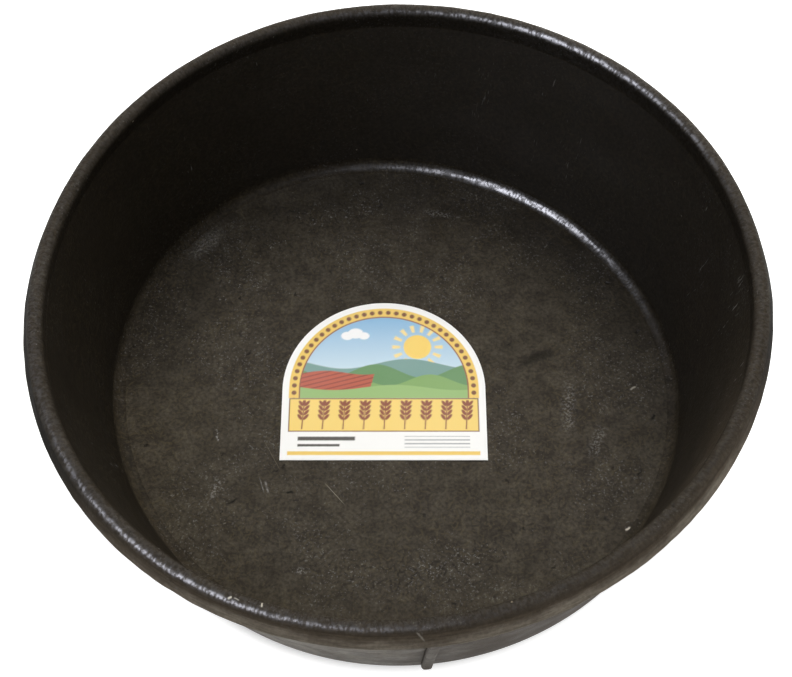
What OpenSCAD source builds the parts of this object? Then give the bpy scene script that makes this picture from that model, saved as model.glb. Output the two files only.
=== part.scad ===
// Round rubber feed tub: a flaring wall on a flat floor, a rounded lip that hangs over the wall,
// upright stacking ribs on the outside, and a label stuck on the floor.
// Millimetres, +Z up. The origin is the centre of the face that the tub stands on, and the front is at -Y.

/* [Overall size] */
// Diameter across the outside of the rim lip
rim_d = 356; // [330:1:400]
// Height from the ground to the top of the lip
overall_h = 114; // [80:1:150]
// Diameter of the base, at its outer corner before rounding
base_d = 304; // [260:1:330]

/* [Floor and wall] */
// Thickness of the floor
floor_t = 8; // [5:0.5:14]
// Thickness of the side wall, measured level
wall_t = 6; // [4:0.5:9]
// Radius of the hollow curve between the floor and the wall
hollow_r = 6; // [4:0.5:16]
// Radius on the outer edge of the base
foot_r = 3; // [1:0.5:5]

/* [Rim lip] */
// Level width of the lip, from its inner edge to its outer edge
lip_w = 10.5; // [10:0.5:16]
// Height of the lip, from its underside to its top
lip_h = 11; // [9:0.5:16]
// Radius of the lip's rounded crest
crest_r = 4; // [2:0.5:5]
// Height of the straight edge at the bottom of the lip's sloping outside
lip_edge_h = 1.5; // [0.5:0.5:3]

/* [Stacking ribs] */
// Number of ribs, evenly spaced round the wall
rib_count = 4; // [3:1:8]
// Width of a rib along the wall, half way up
rib_w = 5.5; // [3:0.5:12]
// How far a rib stands out from the wall
rib_proud = 3; // [1:0.5:4.5]
// Angle of the first rib from the front, towards the right
rib_turn = 6; // [0:1:45]

/* [Label] */
// Width of the label
label_w = 108; // [60:1:150]
// Height of the label, from its straight edge to the top of its arch
label_h = 96; // [80:1:150]
// Sideways place of the label's middle on the floor
label_x = -5; // [-40:1:40]
// Place of the label's middle on the floor, from front to back
label_y = 4; // [-30:1:30]
// Thickness of the label's printed face
label_face_t = 0.2; // [0.1:0.05:0.5]
// Thickness of the label's glue layer
label_glue_t = 0.1; // [0.05:0.05:0.3]

/* [Hidden] */
$fn = 144;
rim_r = rim_d / 2;
base_r = base_d / 2;
lip_low_z = overall_h - lip_h;
lip_in_r = rim_r - lip_w;
// Flare of the wall: how far it moves outwards for each unit of height
wall_top_r = lip_in_r + wall_t;
flare = (wall_top_r - base_r) / lip_low_z;
flare_angle = atan(flare);
// The heel ends at the height of the middle of its hollow curve, which just touches the floor and the wall
heel_top_z = floor_t + hollow_r;
floor_r = inner_r(heel_top_z) - hollow_r / cos(flare_angle);
foot_x = outer_r(foot_r) - foot_r / cos(flare_angle);
rib_angle = rib_w / outer_r(lip_low_z / 2) * 180 / PI;
front_angle = -90;
label_arch_y = label_h / 2 - label_w / 2;

RIBS = [for (i = [1:rib_count]) str("stacking_rib_", i)];

// Radius of the outside of the wall at a height
function outer_r(z) = base_r + flare * z;

// Radius of the inside of the wall at a height
function inner_r(z) = outer_r(z) - wall_t;

// Point of a circle in the direction of the wall's level normal, tilted by its flare
function wall_touch(centre, r) = centre + r * [cos(flare_angle), -sin(flare_angle)];

// Point where a line from an outside point touches a circle, on the upper side of the way to its centre
function touch_point(centre, r, outside) =
    let (way = outside - centre, turn = atan2(way.y, way.x) + acos(r / norm(way)))
    centre + r * [cos(turn), sin(turn)];

// Flat floor that carries the feed
module floor_slab() {
    color([0.23, 0.21, 0.18])
        cylinder(h = floor_t, r = floor_r);
}

// Half section of the corner ring: hollow curve inside, rounded foot outside
module heel_section() {
    hollow_centre = [floor_r, heel_top_z];
    foot_centre = [foot_x, foot_r];
    difference() {
        union() {
            polygon([
                [floor_r, 0],
                [foot_x, 0],
                foot_centre,
                wall_touch(foot_centre, foot_r),
                [outer_r(heel_top_z), heel_top_z],
                [inner_r(heel_top_z), heel_top_z],
                wall_touch(hollow_centre, hollow_r),
                hollow_centre
            ]);
            translate(foot_centre)
                circle(r = foot_r);
        }
        translate(hollow_centre)
            circle(r = hollow_r);
    }
}

// Thick corner between the floor and the wall
module heel_ring() {
    color([0.16, 0.15, 0.13])
        rotate_extrude()
            heel_section();
}

// Flaring side wall
module wall_band() {
    color([0.10, 0.09, 0.08])
        rotate_extrude()
            polygon([
                [inner_r(heel_top_z), heel_top_z],
                [outer_r(heel_top_z), heel_top_z],
                [outer_r(lip_low_z), lip_low_z],
                [inner_r(lip_low_z), lip_low_z]
            ]);
}

// Half section of the lip: a rounded crest on the inside, and a straight slope down to the outer edge
module lip_section() {
    crest_centre = [lip_in_r + crest_r, overall_h - crest_r];
    edge_top = [rim_r, lip_low_z + lip_edge_h];
    polygon([
        [lip_in_r, lip_low_z],
        [rim_r, lip_low_z],
        edge_top,
        touch_point(crest_centre, crest_r, edge_top),
        crest_centre,
        [lip_in_r, crest_centre.y]
    ]);
    translate(crest_centre)
        intersection() {
            circle(r = crest_r);
            translate([-crest_r, 0])
                square([2 * crest_r, crest_r]);
        }
}

// Rounded lip round the mouth
module rim_lip() {
    color([0.24, 0.23, 0.21])
        rotate_extrude()
            lip_section();
}

// Upright rib on the outside of the wall, from above the rounded foot to the underside of the lip
module stacking_rib(i) {
    middle = front_angle + rib_turn + (i - 1) * 360 / rib_count;
    color([0.30, 0.28, 0.25])
        rotate_extrude(angle = rib_angle, start = middle - rib_angle / 2)
            polygon([
                [outer_r(foot_r), foot_r],
                [outer_r(foot_r) + rib_proud, foot_r],
                [outer_r(lip_low_z) + rib_proud, lip_low_z],
                [outer_r(lip_low_z), lip_low_z]
            ]);
}

// Outline of the label: straight at the front, arched at the back
module label_outline() {
    translate([label_x, label_y])
        intersection() {
            square([label_w, label_h], center = true);
            union() {
                translate([-label_w / 2, -label_h / 2])
                    square([label_w, label_h / 2 + label_arch_y]);
                translate([0, label_arch_y])
                    circle(d = label_w);
            }
        }
}

// Glue layer of the label, on the floor
module label_adhesive() {
    color([0.80, 0.78, 0.70])
        translate([0, 0, floor_t])
            linear_extrude(label_glue_t)
                label_outline();
}

// Printed face of the label, on its glue
module label_face() {
    color([0.93, 0.93, 0.90])
        translate([0, 0, floor_t + label_glue_t])
            linear_extrude(label_face_t)
                label_outline();
}

floor_slab();
heel_ring();
wall_band();
rim_lip();
for (i = [1:rib_count])
    stacking_rib(i);
label_adhesive();
label_face();
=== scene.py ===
"""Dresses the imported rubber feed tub: its moulded rubber zones, its stacking ribs and its floor label.

Everything is in metres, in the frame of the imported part: +Z is up through the mouth, the front is at -Y,
and the origin is the middle of the face that the tub stands on.
"""

import logging
import math
from dataclasses import dataclass
from enum import Enum

import bpy
import numpy as np
from mathutils import Matrix, Vector


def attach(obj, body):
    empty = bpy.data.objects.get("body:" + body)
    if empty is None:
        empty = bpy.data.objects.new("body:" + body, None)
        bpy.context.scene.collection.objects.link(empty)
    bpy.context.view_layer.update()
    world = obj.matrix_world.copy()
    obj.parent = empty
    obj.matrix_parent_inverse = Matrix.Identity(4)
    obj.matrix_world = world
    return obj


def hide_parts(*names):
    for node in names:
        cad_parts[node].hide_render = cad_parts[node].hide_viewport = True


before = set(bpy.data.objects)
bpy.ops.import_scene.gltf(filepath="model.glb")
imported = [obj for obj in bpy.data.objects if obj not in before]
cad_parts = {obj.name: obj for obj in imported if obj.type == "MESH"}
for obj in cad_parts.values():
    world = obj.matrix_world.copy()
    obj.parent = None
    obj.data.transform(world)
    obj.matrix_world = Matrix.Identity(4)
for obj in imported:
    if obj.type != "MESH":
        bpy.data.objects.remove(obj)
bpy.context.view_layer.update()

Array = np.ndarray
Colour = tuple[float, float, float]
Point = tuple[float, float, float]
Socket = bpy.types.NodeSocket
LOG = logging.getLogger("feed_tub")
COLUMNS = 1080


# Surfaces


def line(start: Array, end: Array, count: int) -> Array:
    """Even points of a straight line: start plus a growing share of the way to the end, without the end.

    Args:
        start: First point.
        end: Point that the line runs to.
        count: Number of points.

    Returns:
        The points, one per row.
    """
    share = np.arange(count)[:, None] / count
    return np.asarray(start) + (np.asarray(end) - np.asarray(start)) * share


def arc(centre: Array, radius: float, first: float, last: float, count: int) -> Array:
    """Even points of a circle: centre plus radius times cosine and sine of the angle, without the last.

    Args:
        centre: Middle of the circle.
        radius: Radius of the circle.
        first: Angle of the first point, in degrees.
        last: Angle that the arc runs to, in degrees.
        count: Number of points.

    Returns:
        The points, one per row.
    """
    angle = np.radians(first + (last - first) * np.arange(count) / count)
    return np.asarray(centre) + radius * np.column_stack([np.cos(angle), np.sin(angle)])


@dataclass(frozen=True)
class Lumps:
    """Seeded unevenness of a surface.

    Attributes:
        height: Spread of its heights.
        seed: Seed of its random heights.
        blur: Reach of its smoothing, in rows and in columns.
    """

    height: float
    seed: int
    blur: tuple[float, float]

    def heights(self, rows: int, columns: int, own: int = 0) -> Array:
        """Random heights on a closed grid, smoothed by a Gaussian and brought to their spread.

        Args:
            rows: Rows of the grid.
            columns: Columns of the grid.
            own: Number that is added to the seed, for one of several like pieces.

        Returns:
            One height per grid point.
        """
        rough = np.random.default_rng(self.seed + own).standard_normal((rows, columns))
        along = np.fft.fftfreq(rows)[:, None] * self.blur[0]
        around = np.fft.fftfreq(columns)[None, :] * self.blur[1]
        gain = np.exp(-2 * np.pi**2 * (along**2 + around**2))
        smooth = np.fft.ifft2(np.fft.fft2(rough) * gain).real
        smooth -= smooth.mean()
        return smooth / smooth.std() * self.height


def section_normals(profile: Array) -> Array:
    """Outward normals of a closed section: the way between a point's neighbours, turned by a right angle.

    Args:
        profile: Points of the section as radius and height, anticlockwise.

    Returns:
        One unit normal per point.
    """
    way = np.roll(profile, -1, axis=0) - np.roll(profile, 1, axis=0)
    normal = np.column_stack([way[:, 1], -way[:, 0]])
    return normal / np.linalg.norm(normal, axis=1)[:, None]


def grid_quads(rows: int, columns: int, closed: bool) -> Array:
    """Corner numbers of the quads between neighbouring points of a grid that is closed round its columns.

    Args:
        rows: Rows of the grid.
        columns: Columns of the grid.
        closed: Whether the last row also joins the first.

    Returns:
        Four point numbers per quad.
    """
    row, column = np.meshgrid(np.arange(rows if closed else rows - 1), np.arange(columns), indexing="ij")
    next_row = (row + 1) % rows
    next_column = (column + 1) % columns
    corners = [(row, column), (row, next_column), (next_row, next_column), (next_row, column)]
    return np.stack([r * columns + c for r, c in corners], axis=-1).reshape(-1, 4)


@dataclass
class Surface:
    """Points and faces of one piece.

    Attributes:
        points: Places of the points.
        quads: Four point numbers per quad.
        triangles: Three point numbers per triangle.
        outlines: Point numbers of faces with many corners.
        chart: Flat place of each face corner, in metres along the surface, in the order of the faces.
    """

    points: Array
    quads: Array
    triangles: Array
    outlines: list[Array]
    chart: Array

    def to_object(self, name: str, crease: float = 40.0) -> bpy.types.Object:
        """Puts the surface into a mesh object at the origin.

        Args:
            name: Name of the piece.
            crease: Angle in degrees past which an edge is sharp.

        Returns:
            The new object, linked to the scene.
        """
        sizes = np.concatenate(
            [
                np.full(len(self.quads), 4),
                np.full(len(self.triangles), 3),
                np.array([len(o) for o in self.outlines], dtype=int),
            ]
        )
        corners = np.concatenate([self.quads.ravel(), self.triangles.ravel(), *self.outlines])
        mesh = bpy.data.meshes.new(name)
        mesh.vertices.add(len(self.points))
        mesh.vertices.foreach_set("co", self.points.astype(np.float32).ravel())
        mesh.loops.add(len(corners))
        mesh.loops.foreach_set("vertex_index", corners.astype(np.int32))
        mesh.polygons.add(len(sizes))
        mesh.polygons.foreach_set("loop_start", (np.cumsum(sizes) - sizes).astype(np.int32))
        mesh.update(calc_edges=True)
        chart = mesh.uv_layers.new(name="surface")
        chart.uv.foreach_set("vector", self.chart.astype(np.float32).ravel())
        mesh.shade_smooth()
        mesh.set_sharp_from_angle(angle=math.radians(crease))
        mesh.validate()
        piece = bpy.data.objects.new(name, mesh)
        bpy.context.scene.collection.objects.link(piece)
        return piece


def add_values(piece: bpy.types.Object, name: str, values: Array) -> None:
    """Gives each point of a piece a value that its material can read.

    Args:
        piece: The piece.
        name: Name of the attribute.
        values: One number, or one colour, per point.
    """
    if values.ndim == 1:
        store = piece.data.attributes.new(name, "FLOAT", "POINT")
        store.data.foreach_set("value", values.astype(np.float32))
        return
    store = piece.data.attributes.new(name, "FLOAT_COLOR", "POINT")
    full = np.column_stack([values, np.ones(len(values))])
    store.data.foreach_set("color", full.astype(np.float32).ravel())


# Form of the tub


@dataclass(frozen=True)
class Wave:
    """A standing wave of the soft rubber round the tub.

    Attributes:
        size: How far the wave moves the rubber outwards at its crests.
        crests: Number of crests round the tub.
        turn: Direction of the first crest from +X, in degrees.
    """

    size: float
    crests: int
    turn: float

    def reach(self, theta: Array) -> Array:
        """Outward way: size times the cosine of crests times the angle from the first crest."""
        return self.size * np.cos(self.crests * (theta - math.radians(self.turn)))


@dataclass(frozen=True)
class TubForm:
    """Main sizes of the tub, and how it is flexed out of round.

    Attributes:
        rim_r: Outer radius of the lip.
        height: Height of the lip's top.
        base_r: Radius of the base at its outer corner before rounding.
        floor_t: Thickness of the floor.
        wall_t: Level thickness of the wall.
        hollow_r: Radius of the hollow curve between the floor and the wall.
        foot_r: Radius on the outer edge of the base.
        lip_w: Level width of the lip.
        lip_h: Height of the lip.
        crest_r: Radius of the lip's rounded crest.
        lip_edge_h: Height of the straight edge below the lip's slope.
        rim_waves: Flex of the rim.
        base_waves: Flex of the base.
    """

    rim_r: float = 0.178
    height: float = 0.114
    base_r: float = 0.152
    floor_t: float = 0.008
    wall_t: float = 0.006
    hollow_r: float = 0.006
    foot_r: float = 0.003
    lip_w: float = 0.0105
    lip_h: float = 0.011
    crest_r: float = 0.004
    lip_edge_h: float = 0.0015
    rim_waves: tuple[Wave, ...] = (Wave(0.0024, 1, -10.0), Wave(0.0024, 2, 50.0), Wave(0.0007, 3, 1.0))
    base_waves: tuple[Wave, ...] = (Wave(0.0030, 2, -35.0), Wave(0.0012, 3, 4.0))

    @property
    def lip_low(self) -> float:
        """Height of the lip's underside."""
        return self.height - self.lip_h

    @property
    def lip_in_r(self) -> float:
        """Inner radius of the lip."""
        return self.rim_r - self.lip_w

    @property
    def flare(self) -> float:
        """How far the wall moves outwards for each unit of height."""
        return (self.lip_in_r + self.wall_t - self.base_r) / self.lip_low

    @property
    def heel_top(self) -> float:
        """Height where the heel ends and the wall starts."""
        return self.floor_t + self.hollow_r

    @property
    def floor_r(self) -> float:
        """Radius of the flat floor."""
        return self.inner_r(self.heel_top) - self.hollow_r * math.hypot(1.0, self.flare)

    def outer_r(self, z: Array | float) -> Array | float:
        """Radius of the outside of the wall at a height: it grows evenly with the flare."""
        return self.base_r + self.flare * z

    def inner_r(self, z: Array | float) -> Array | float:
        """Radius of the inside of the wall at a height."""
        return self.outer_r(z) - self.wall_t

    def flex(self, theta: Array, z: Array) -> Array:
        """Outward way of the flexed rubber: the rim's waves fade in with height as the base's fade out.

        Args:
            theta: Directions round the tub, in radians from +X.
            z: Heights.

        Returns:
            How far each point moves outwards.
        """
        share = z / self.height
        rim = sum(wave.reach(theta) for wave in self.rim_waves)
        base = sum(wave.reach(theta) for wave in self.base_waves)
        return share * rim + (1.0 - share) * base

    def place(self, theta: Array, radius: Array, z: Array) -> Array:
        """Places points on the flexed tub: inside the floor the flex shrinks towards the middle.

        Args:
            theta: Directions round the tub.
            radius: Radii on the round tub.
            z: Heights.

        Returns:
            The places of the points.
        """
        hold = np.clip(radius / self.floor_r, 0.0, 1.0)
        flexed = radius + hold * self.flex(theta, z)
        return np.stack([flexed * np.cos(theta), flexed * np.sin(theta), z], axis=-1).reshape(-1, 3)


def directions() -> Array:
    """Even directions round the tub, in radians, shared by all its rings so that their seams meet."""
    return np.arange(COLUMNS) * 2 * math.pi / COLUMNS


def off_way(theta: Array, middle: float) -> Array:
    """Angle in degrees between each direction, in radians from +X, and a middle one in degrees."""
    return np.degrees(np.abs(np.angle(np.exp(1j * (theta - math.radians(middle))))))


def ease(step: Array) -> Array:
    """Smooth step: three times the square of the clipped step, less twice its cube."""
    held = np.clip(step, 0.0, 1.0)
    return held * held * (3.0 - 2.0 * held)


@dataclass(frozen=True)
class Swell:
    """A bell curve round the tub.

    Attributes:
        share: Value at its middle.
        middle: Direction of its middle from +X, in degrees.
        width: Angle from there at which it has fallen to about a third, in degrees.
    """

    share: float
    middle: float
    width: float

    def at(self, theta: Array) -> Array:
        """Value in each direction: share times e to the minus square of the angle over the width."""
        return self.share * np.exp(-((off_way(theta, self.middle) / self.width) ** 2))


@dataclass(frozen=True)
class DustShadeSpread:
    """Dust on the outside, which also paints shade where it thins: full round a middle direction, fading to
    a rest on both sides.

    Attributes:
        middle: Direction with the most dust from +X, in degrees.
        reach: Angle from there at which the dust starts to fade, in degrees.
        fade: Angle over which it fades, in degrees.
        rest: Share that stays everywhere else.
    """

    middle: float
    reach: float
    fade: float
    rest: float

    def at(self, theta: Array) -> Array:
        """Share of dust in each direction, lower where shade is painted: one, less a smooth step down to
        the rest.
        """
        return 1.0 - (1.0 - self.rest) * ease((off_way(theta, self.middle) - self.reach) / self.fade)


# Dust round the outside, spread so that the sides and back come out darker: dust and painted shade.
PALE_DUST_AND_SHADE = DustShadeSpread(middle=-118.0, reach=10.0, fade=40.0, rest=0.35)
FRONT_DUST_AND_SHADE = DustShadeSpread(middle=-95.0, reach=50.0, fade=60.0, rest=0.25)


def wall_dust_and_shade(theta: Array) -> Array:
    """Share of dust outside on wall, heel and ribs: most at the front left, less along the front, and thin
    at the sides and back, where it paints their shade.

    Args:
        theta: Directions round the tub, in radians from +X.

    Returns:
        One share per direction.
    """
    return PALE_DUST_AND_SHADE.at(theta) * FRONT_DUST_AND_SHADE.at(theta)


def turned_ring(form: TubForm, profile: Array, lift: Array) -> Surface:
    """A closed section carried round the tub, each point moved along the section's normal by its lift.

    Args:
        form: The tub's form.
        profile: Points of the section as radius and height, anticlockwise.
        lift: Way along the normal, for each section point and direction.

    Returns:
        The surface, charted by the way round and the way along the section.
    """
    rows = len(profile)
    theta = np.broadcast_to(directions(), (rows, COLUMNS))
    normal = section_normals(profile)
    radius = profile[:, :1] + normal[:, :1] * lift
    z = profile[:, 1:] + normal[:, 1:] * lift
    steps = np.linalg.norm(np.roll(profile, -1, axis=0) - profile, axis=1)
    along = np.concatenate([[0.0], np.cumsum(steps)])
    around = np.arange(COLUMNS + 1) * 2 * math.pi / COLUMNS * float(np.mean(profile[:, 0]))
    row, column = np.meshgrid(np.arange(rows), np.arange(COLUMNS), indexing="ij")
    corners = [(row, column), (row, column + 1), (row + 1, column + 1), (row + 1, column)]
    chart = np.stack([np.stack([around[c], along[r]], axis=-1) for r, c in corners], axis=2)
    return Surface(
        points=form.place(theta, radius, z),
        quads=grid_quads(rows, COLUMNS, closed=True),
        triangles=np.empty((0, 3), dtype=int),
        outlines=[],
        chart=chart.reshape(-1, 2),
    )


# Shader boards


def linear(colour: Colour) -> Array:
    """Light values of a colour that is written in the steps of a screen, from 0 to 255."""
    steps = np.asarray(colour, dtype=float) / 255.0
    return np.where(steps <= 0.04045, steps / 12.92, ((steps + 0.055) / 1.055) ** 2.4)


def solid(colour: Colour) -> tuple[float, float, float, float]:
    """Light values of a screen colour, as a colour socket takes them."""
    return (*linear(colour), 1.0)


class Board:
    """Places and links the nodes of one node tree."""

    def __init__(self, tree: bpy.types.NodeTree) -> None:
        """Starts on a tree."""
        self.tree = tree

    def node(
        self, kind: str, inputs: dict[str | int, object] | None = None, **options: object
    ) -> bpy.types.Node:
        """Adds a node, sets its options and feeds its inputs.

        Args:
            kind: Blender's name of the node type.
            inputs: Values or sockets, by name or number of the input.
            **options: Settings of the node.

        Returns:
            The new node.
        """
        node = self.tree.nodes.new(kind)
        for key, value in options.items():
            setattr(node, key, value)
        for key, value in (inputs or {}).items():
            self.feed(node.inputs[key], value)
        return node

    def feed(self, socket: Socket, value: object) -> None:
        """Links a socket to another one, or sets its value."""
        if isinstance(value, Socket):
            self.tree.links.new(value, socket)
        else:
            socket.default_value = value

    def math(self, operation: str, first: object, second: object = 0.0) -> Socket:
        """Result of a sum of one or two values."""
        return self.node("ShaderNodeMath", {0: first, 1: second}, operation=operation).outputs[0]

    def vector(self, operation: str, first: object, second: object) -> Socket:
        """Result of a sum of two vectors, or of a vector and its scale."""
        key = "Scale" if operation == "SCALE" else 1
        return self.node("ShaderNodeVectorMath", {0: first, key: second}, operation=operation).outputs[0]

    def fade(
        self, value: object, low: object, high: object, start: object = 0.0, end: object = 1.0
    ) -> Socket:
        """Smooth step from start to end as a value goes from low to high.

        Args:
            value: The value that is read.
            low: Value where the step starts.
            high: Value where the step ends.
            start: Result before the step.
            end: Result after the step.

        Returns:
            The socket of the result.
        """
        inputs = {"Value": value, "From Min": low, "From Max": high, "To Min": start, "To Max": end}
        return self.node("ShaderNodeMapRange", inputs, interpolation_type="SMOOTHSTEP").outputs[0]

    def blend(self, share: object, first: object, second: object) -> Socket:
        """Colour between two colours."""
        node = self.node("ShaderNodeMix", {0: share, 6: first, 7: second}, data_type="RGBA")
        return node.outputs[2]

    def cover(self, colour: object, tone: Colour, mask: object, strength: object) -> Socket:
        """Lays a screen colour over a colour, as far as a mask times a strength says.

        Args:
            colour: Colour below.
            tone: Screen colour on top.
            mask: Where it lies.
            strength: How strongly it covers there.

        Returns:
            The covered colour.
        """
        return self.blend(self.math("MULTIPLY", mask, strength), colour, solid(tone))

    def scaled(self, value: object, gain: float, start: float) -> Socket:
        """A value times a gain, plus a start."""
        return self.math("ADD", self.math("MULTIPLY", value, gain), start)

    def value(self, name: str) -> Socket:
        """The piece's own value at a point, by the name of its attribute."""
        return self.node("ShaderNodeAttribute", attribute_name=name).outputs["Fac"]

    def noise(
        self, vector: object, size: object, detail: float = 3.0, rough: float = 0.5
    ) -> Socket:
        """Cloudy noise whose waves have about the given size in metres.

        Args:
            vector: Place on the surface.
            size: Size of the largest waves.
            detail: Number of finer layers.
            rough: Strength of the finer layers.

        Returns:
            The noise, from 0 to 1.
        """
        inputs = {
            "Vector": vector,
            "Scale": self.math("DIVIDE", 1.0, size),
            "Detail": detail,
            "Roughness": rough,
        }
        return self.node("ShaderNodeTexNoise", inputs).outputs[0]

    def cells(self, vector: object, size: object, flat: bool) -> tuple[object, object, bpy.types.Node]:
        """Scattered cells of about the given size.

        Args:
            vector: Place on the surface.
            size: Size of a cell.
            flat: Whether the cells lie on a flat chart.

        Returns:
            The way from a cell's middle in metres, the distance from it, and its three random values.
        """
        spread = self.vector("SCALE", vector, self.math("DIVIDE", 1.0, size))
        kind = "2D" if flat else "3D"
        cell = self.node("ShaderNodeTexVoronoi", {"Vector": spread, "Scale": 1.0}, voronoi_dimensions=kind)
        way = self.vector("SCALE", self.vector("SUBTRACT", spread, cell.outputs["Position"]), size)
        distance = self.math("MULTIPLY", cell.outputs["Distance"], size)
        lots = self.node("ShaderNodeSeparateColor", {0: cell.outputs["Color"]})
        return way, distance, lots


class Effect(Enum):
    """Surface effects that several finishes share, as node groups."""

    FLECKS = "cord flecks"
    SPECKS = "dust specks"
    CHALK = "chalky scuffs"
    GRAIN = "moulded grain"
    CLOUDS = "cloudy tone"
    STROKE = "single stroke"


class EffectShelf:
    """Builds each shared effect once and hands out its node group."""

    def __init__(self) -> None:
        """Starts with no group made."""
        self.made: dict[Effect, bpy.types.NodeTree] = {}

    def get(self, effect: Effect) -> bpy.types.NodeTree:
        """The node group of an effect, made at its first use.

        Args:
            effect: The effect.

        Returns:
            Its node group.
        """
        if effect not in self.made:
            makers = {
                Effect.FLECKS: self.flecks,
                Effect.SPECKS: self.specks,
                Effect.CHALK: self.chalk,
                Effect.GRAIN: self.grain,
                Effect.CLOUDS: self.clouds,
                Effect.STROKE: self.stroke,
            }
            self.made[effect] = makers[effect]()
        return self.made[effect]

    def start(
        self, effect: Effect, values: dict[str, float], results: tuple[str, ...]
    ) -> tuple[Board, bpy.types.Node, bpy.types.Node]:
        """An empty group with its sockets.

        Args:
            effect: The effect.
            values: Names and usual values of the inputs, after the place on the surface.
            results: Names of the outputs.

        Returns:
            The board, the node of the inputs and the node of the outputs.
        """
        tree = bpy.data.node_groups.new(effect.value, "ShaderNodeTree")
        tree.interface.new_socket("Place", in_out="INPUT", socket_type="NodeSocketVector")
        for name, value in values.items():
            socket = tree.interface.new_socket(name, in_out="INPUT", socket_type="NodeSocketFloat")
            socket.default_value = value
        for name in results:
            tree.interface.new_socket(name, in_out="OUTPUT", socket_type="NodeSocketFloat")
        board = Board(tree)
        return board, board.node("NodeGroupInput"), board.node("NodeGroupOutput")

    def stirred(self, board: Board, place: object, size: object, reach: object) -> Socket:
        """Place moved about by a noise, so that outlines drawn from it wander.

        Args:
            board: Board of the group.
            place: Place on the surface.
            size: Size of the noise's waves.
            reach: How far the place moves.

        Returns:
            The moved place.
        """
        stir = board.node("ShaderNodeTexNoise", {"Vector": place, "Detail": 2.0})
        board.feed(stir.inputs["Scale"], board.math("DIVIDE", 1.0, size))
        shift = board.vector("SUBTRACT", stir.outputs["Color"], (0.5, 0.5, 0.5))
        return board.vector("ADD", place, board.vector("SCALE", shift, reach))

    def bowed(
        self, board: Board, way: object, turn: object, bend: object, got: bpy.types.Node
    ) -> Socket:
        """Soft bowed stroke: full on its middle line, faded out towards its sides and ends.

        Args:
            board: Board of the group.
            way: Way from the stroke's middle.
            turn: Direction of the stroke, in radians.
            bend: How much it bows.
            got: Node of the group's inputs, with a Length and a Width.

        Returns:
            The stroke's mask.
        """
        local = board.node(
            "ShaderNodeVectorRotate", {"Vector": way, "Angle": turn}, rotation_type="Z_AXIS", invert=True
        )
        axes = board.node("ShaderNodeSeparateXYZ", {0: local.outputs[0]})
        bow = board.math("MULTIPLY", bend, board.math("MULTIPLY", axes.outputs[0], axes.outputs[0]))
        across = board.math("ABSOLUTE", board.math("SUBTRACT", axes.outputs[1], bow))
        along = board.math("ABSOLUTE", axes.outputs[0])
        half_w = board.math("MULTIPLY", got.outputs["Width"], 0.5)
        half_l = board.math("MULTIPLY", got.outputs["Length"], 0.5)
        side = board.fade(across, 0.0, half_w, 1.0, 0.0)
        ends = board.fade(along, board.math("MULTIPLY", half_l, 0.4), half_l, 1.0, 0.0)
        return board.math("MULTIPLY", side, ends)

    def flecks(self) -> bpy.types.NodeTree:
        """Short bent strokes, one in some cells, each turned its own way: chopped cord in the rubber.

        Returns:
            The group, with the strokes as Mask and a random value for each as Tint.
        """
        board, got, out = self.start(
            Effect.FLECKS,
            {
                "Cell": 0.005,
                "Length": 0.004,
                "Width": 0.0005,
                "Bend": 60.0,
                "Share": 0.5,
                "Wander": 0.0004,
                "Stir": 0.004,
            },
            ("Mask", "Tint"),
        )
        place = self.stirred(board, got.outputs["Place"], got.outputs["Stir"], got.outputs["Wander"])
        way, _, lots = board.cells(place, got.outputs["Cell"], flat=True)
        turn = board.math("MULTIPLY", lots.outputs[0], 2 * math.pi)
        bend = board.math("MULTIPLY", got.outputs["Bend"], board.math("SUBTRACT", lots.outputs[1], 0.5))
        chosen = board.math("LESS_THAN", lots.outputs[2], got.outputs["Share"])
        stroke = self.bowed(board, way, turn, bend, got)
        board.feed(out.inputs["Mask"], board.math("MULTIPLY", stroke, chosen))
        board.feed(out.inputs["Tint"], lots.outputs[1])
        return board.tree

    def stroke(self) -> bpy.types.NodeTree:
        """One stroke at a set place: a scratch, a rub of gritty bits, or a tear.

        Returns:
            The group, with the stroke as Mask.
        """
        values = {
            "X": 0.0,
            "Y": 0.0,
            "Turn": 0.0,
            "Length": 0.01,
            "Width": 0.001,
            "Fray": 0.0005,
            "Grit": 0.0,
        }
        board, got, out = self.start(Effect.STROKE, values, ("Mask",))
        wave = board.math("ADD", board.math("MULTIPLY", got.outputs["Fray"], 1.5), 0.0003)
        place = self.stirred(board, got.outputs["Place"], wave, got.outputs["Fray"])
        middle = board.node("ShaderNodeCombineXYZ", {0: got.outputs["X"], 1: got.outputs["Y"]}).outputs[0]
        way = board.vector("MULTIPLY", board.vector("SUBTRACT", place, middle), (1.0, 1.0, 0.0))
        turn = board.math("RADIANS", got.outputs["Turn"])
        bits = board.fade(board.noise(got.outputs["Place"], 0.0013, 2.0, 0.6), 0.46, 0.62)
        gaps = board.math("MULTIPLY", got.outputs["Grit"], board.math("SUBTRACT", 1.0, bits))
        stroke = self.bowed(board, way, turn, 0.0, got)
        board.feed(out.inputs["Mask"], board.math("MULTIPLY", stroke, board.math("SUBTRACT", 1.0, gaps)))
        return board.tree

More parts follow.
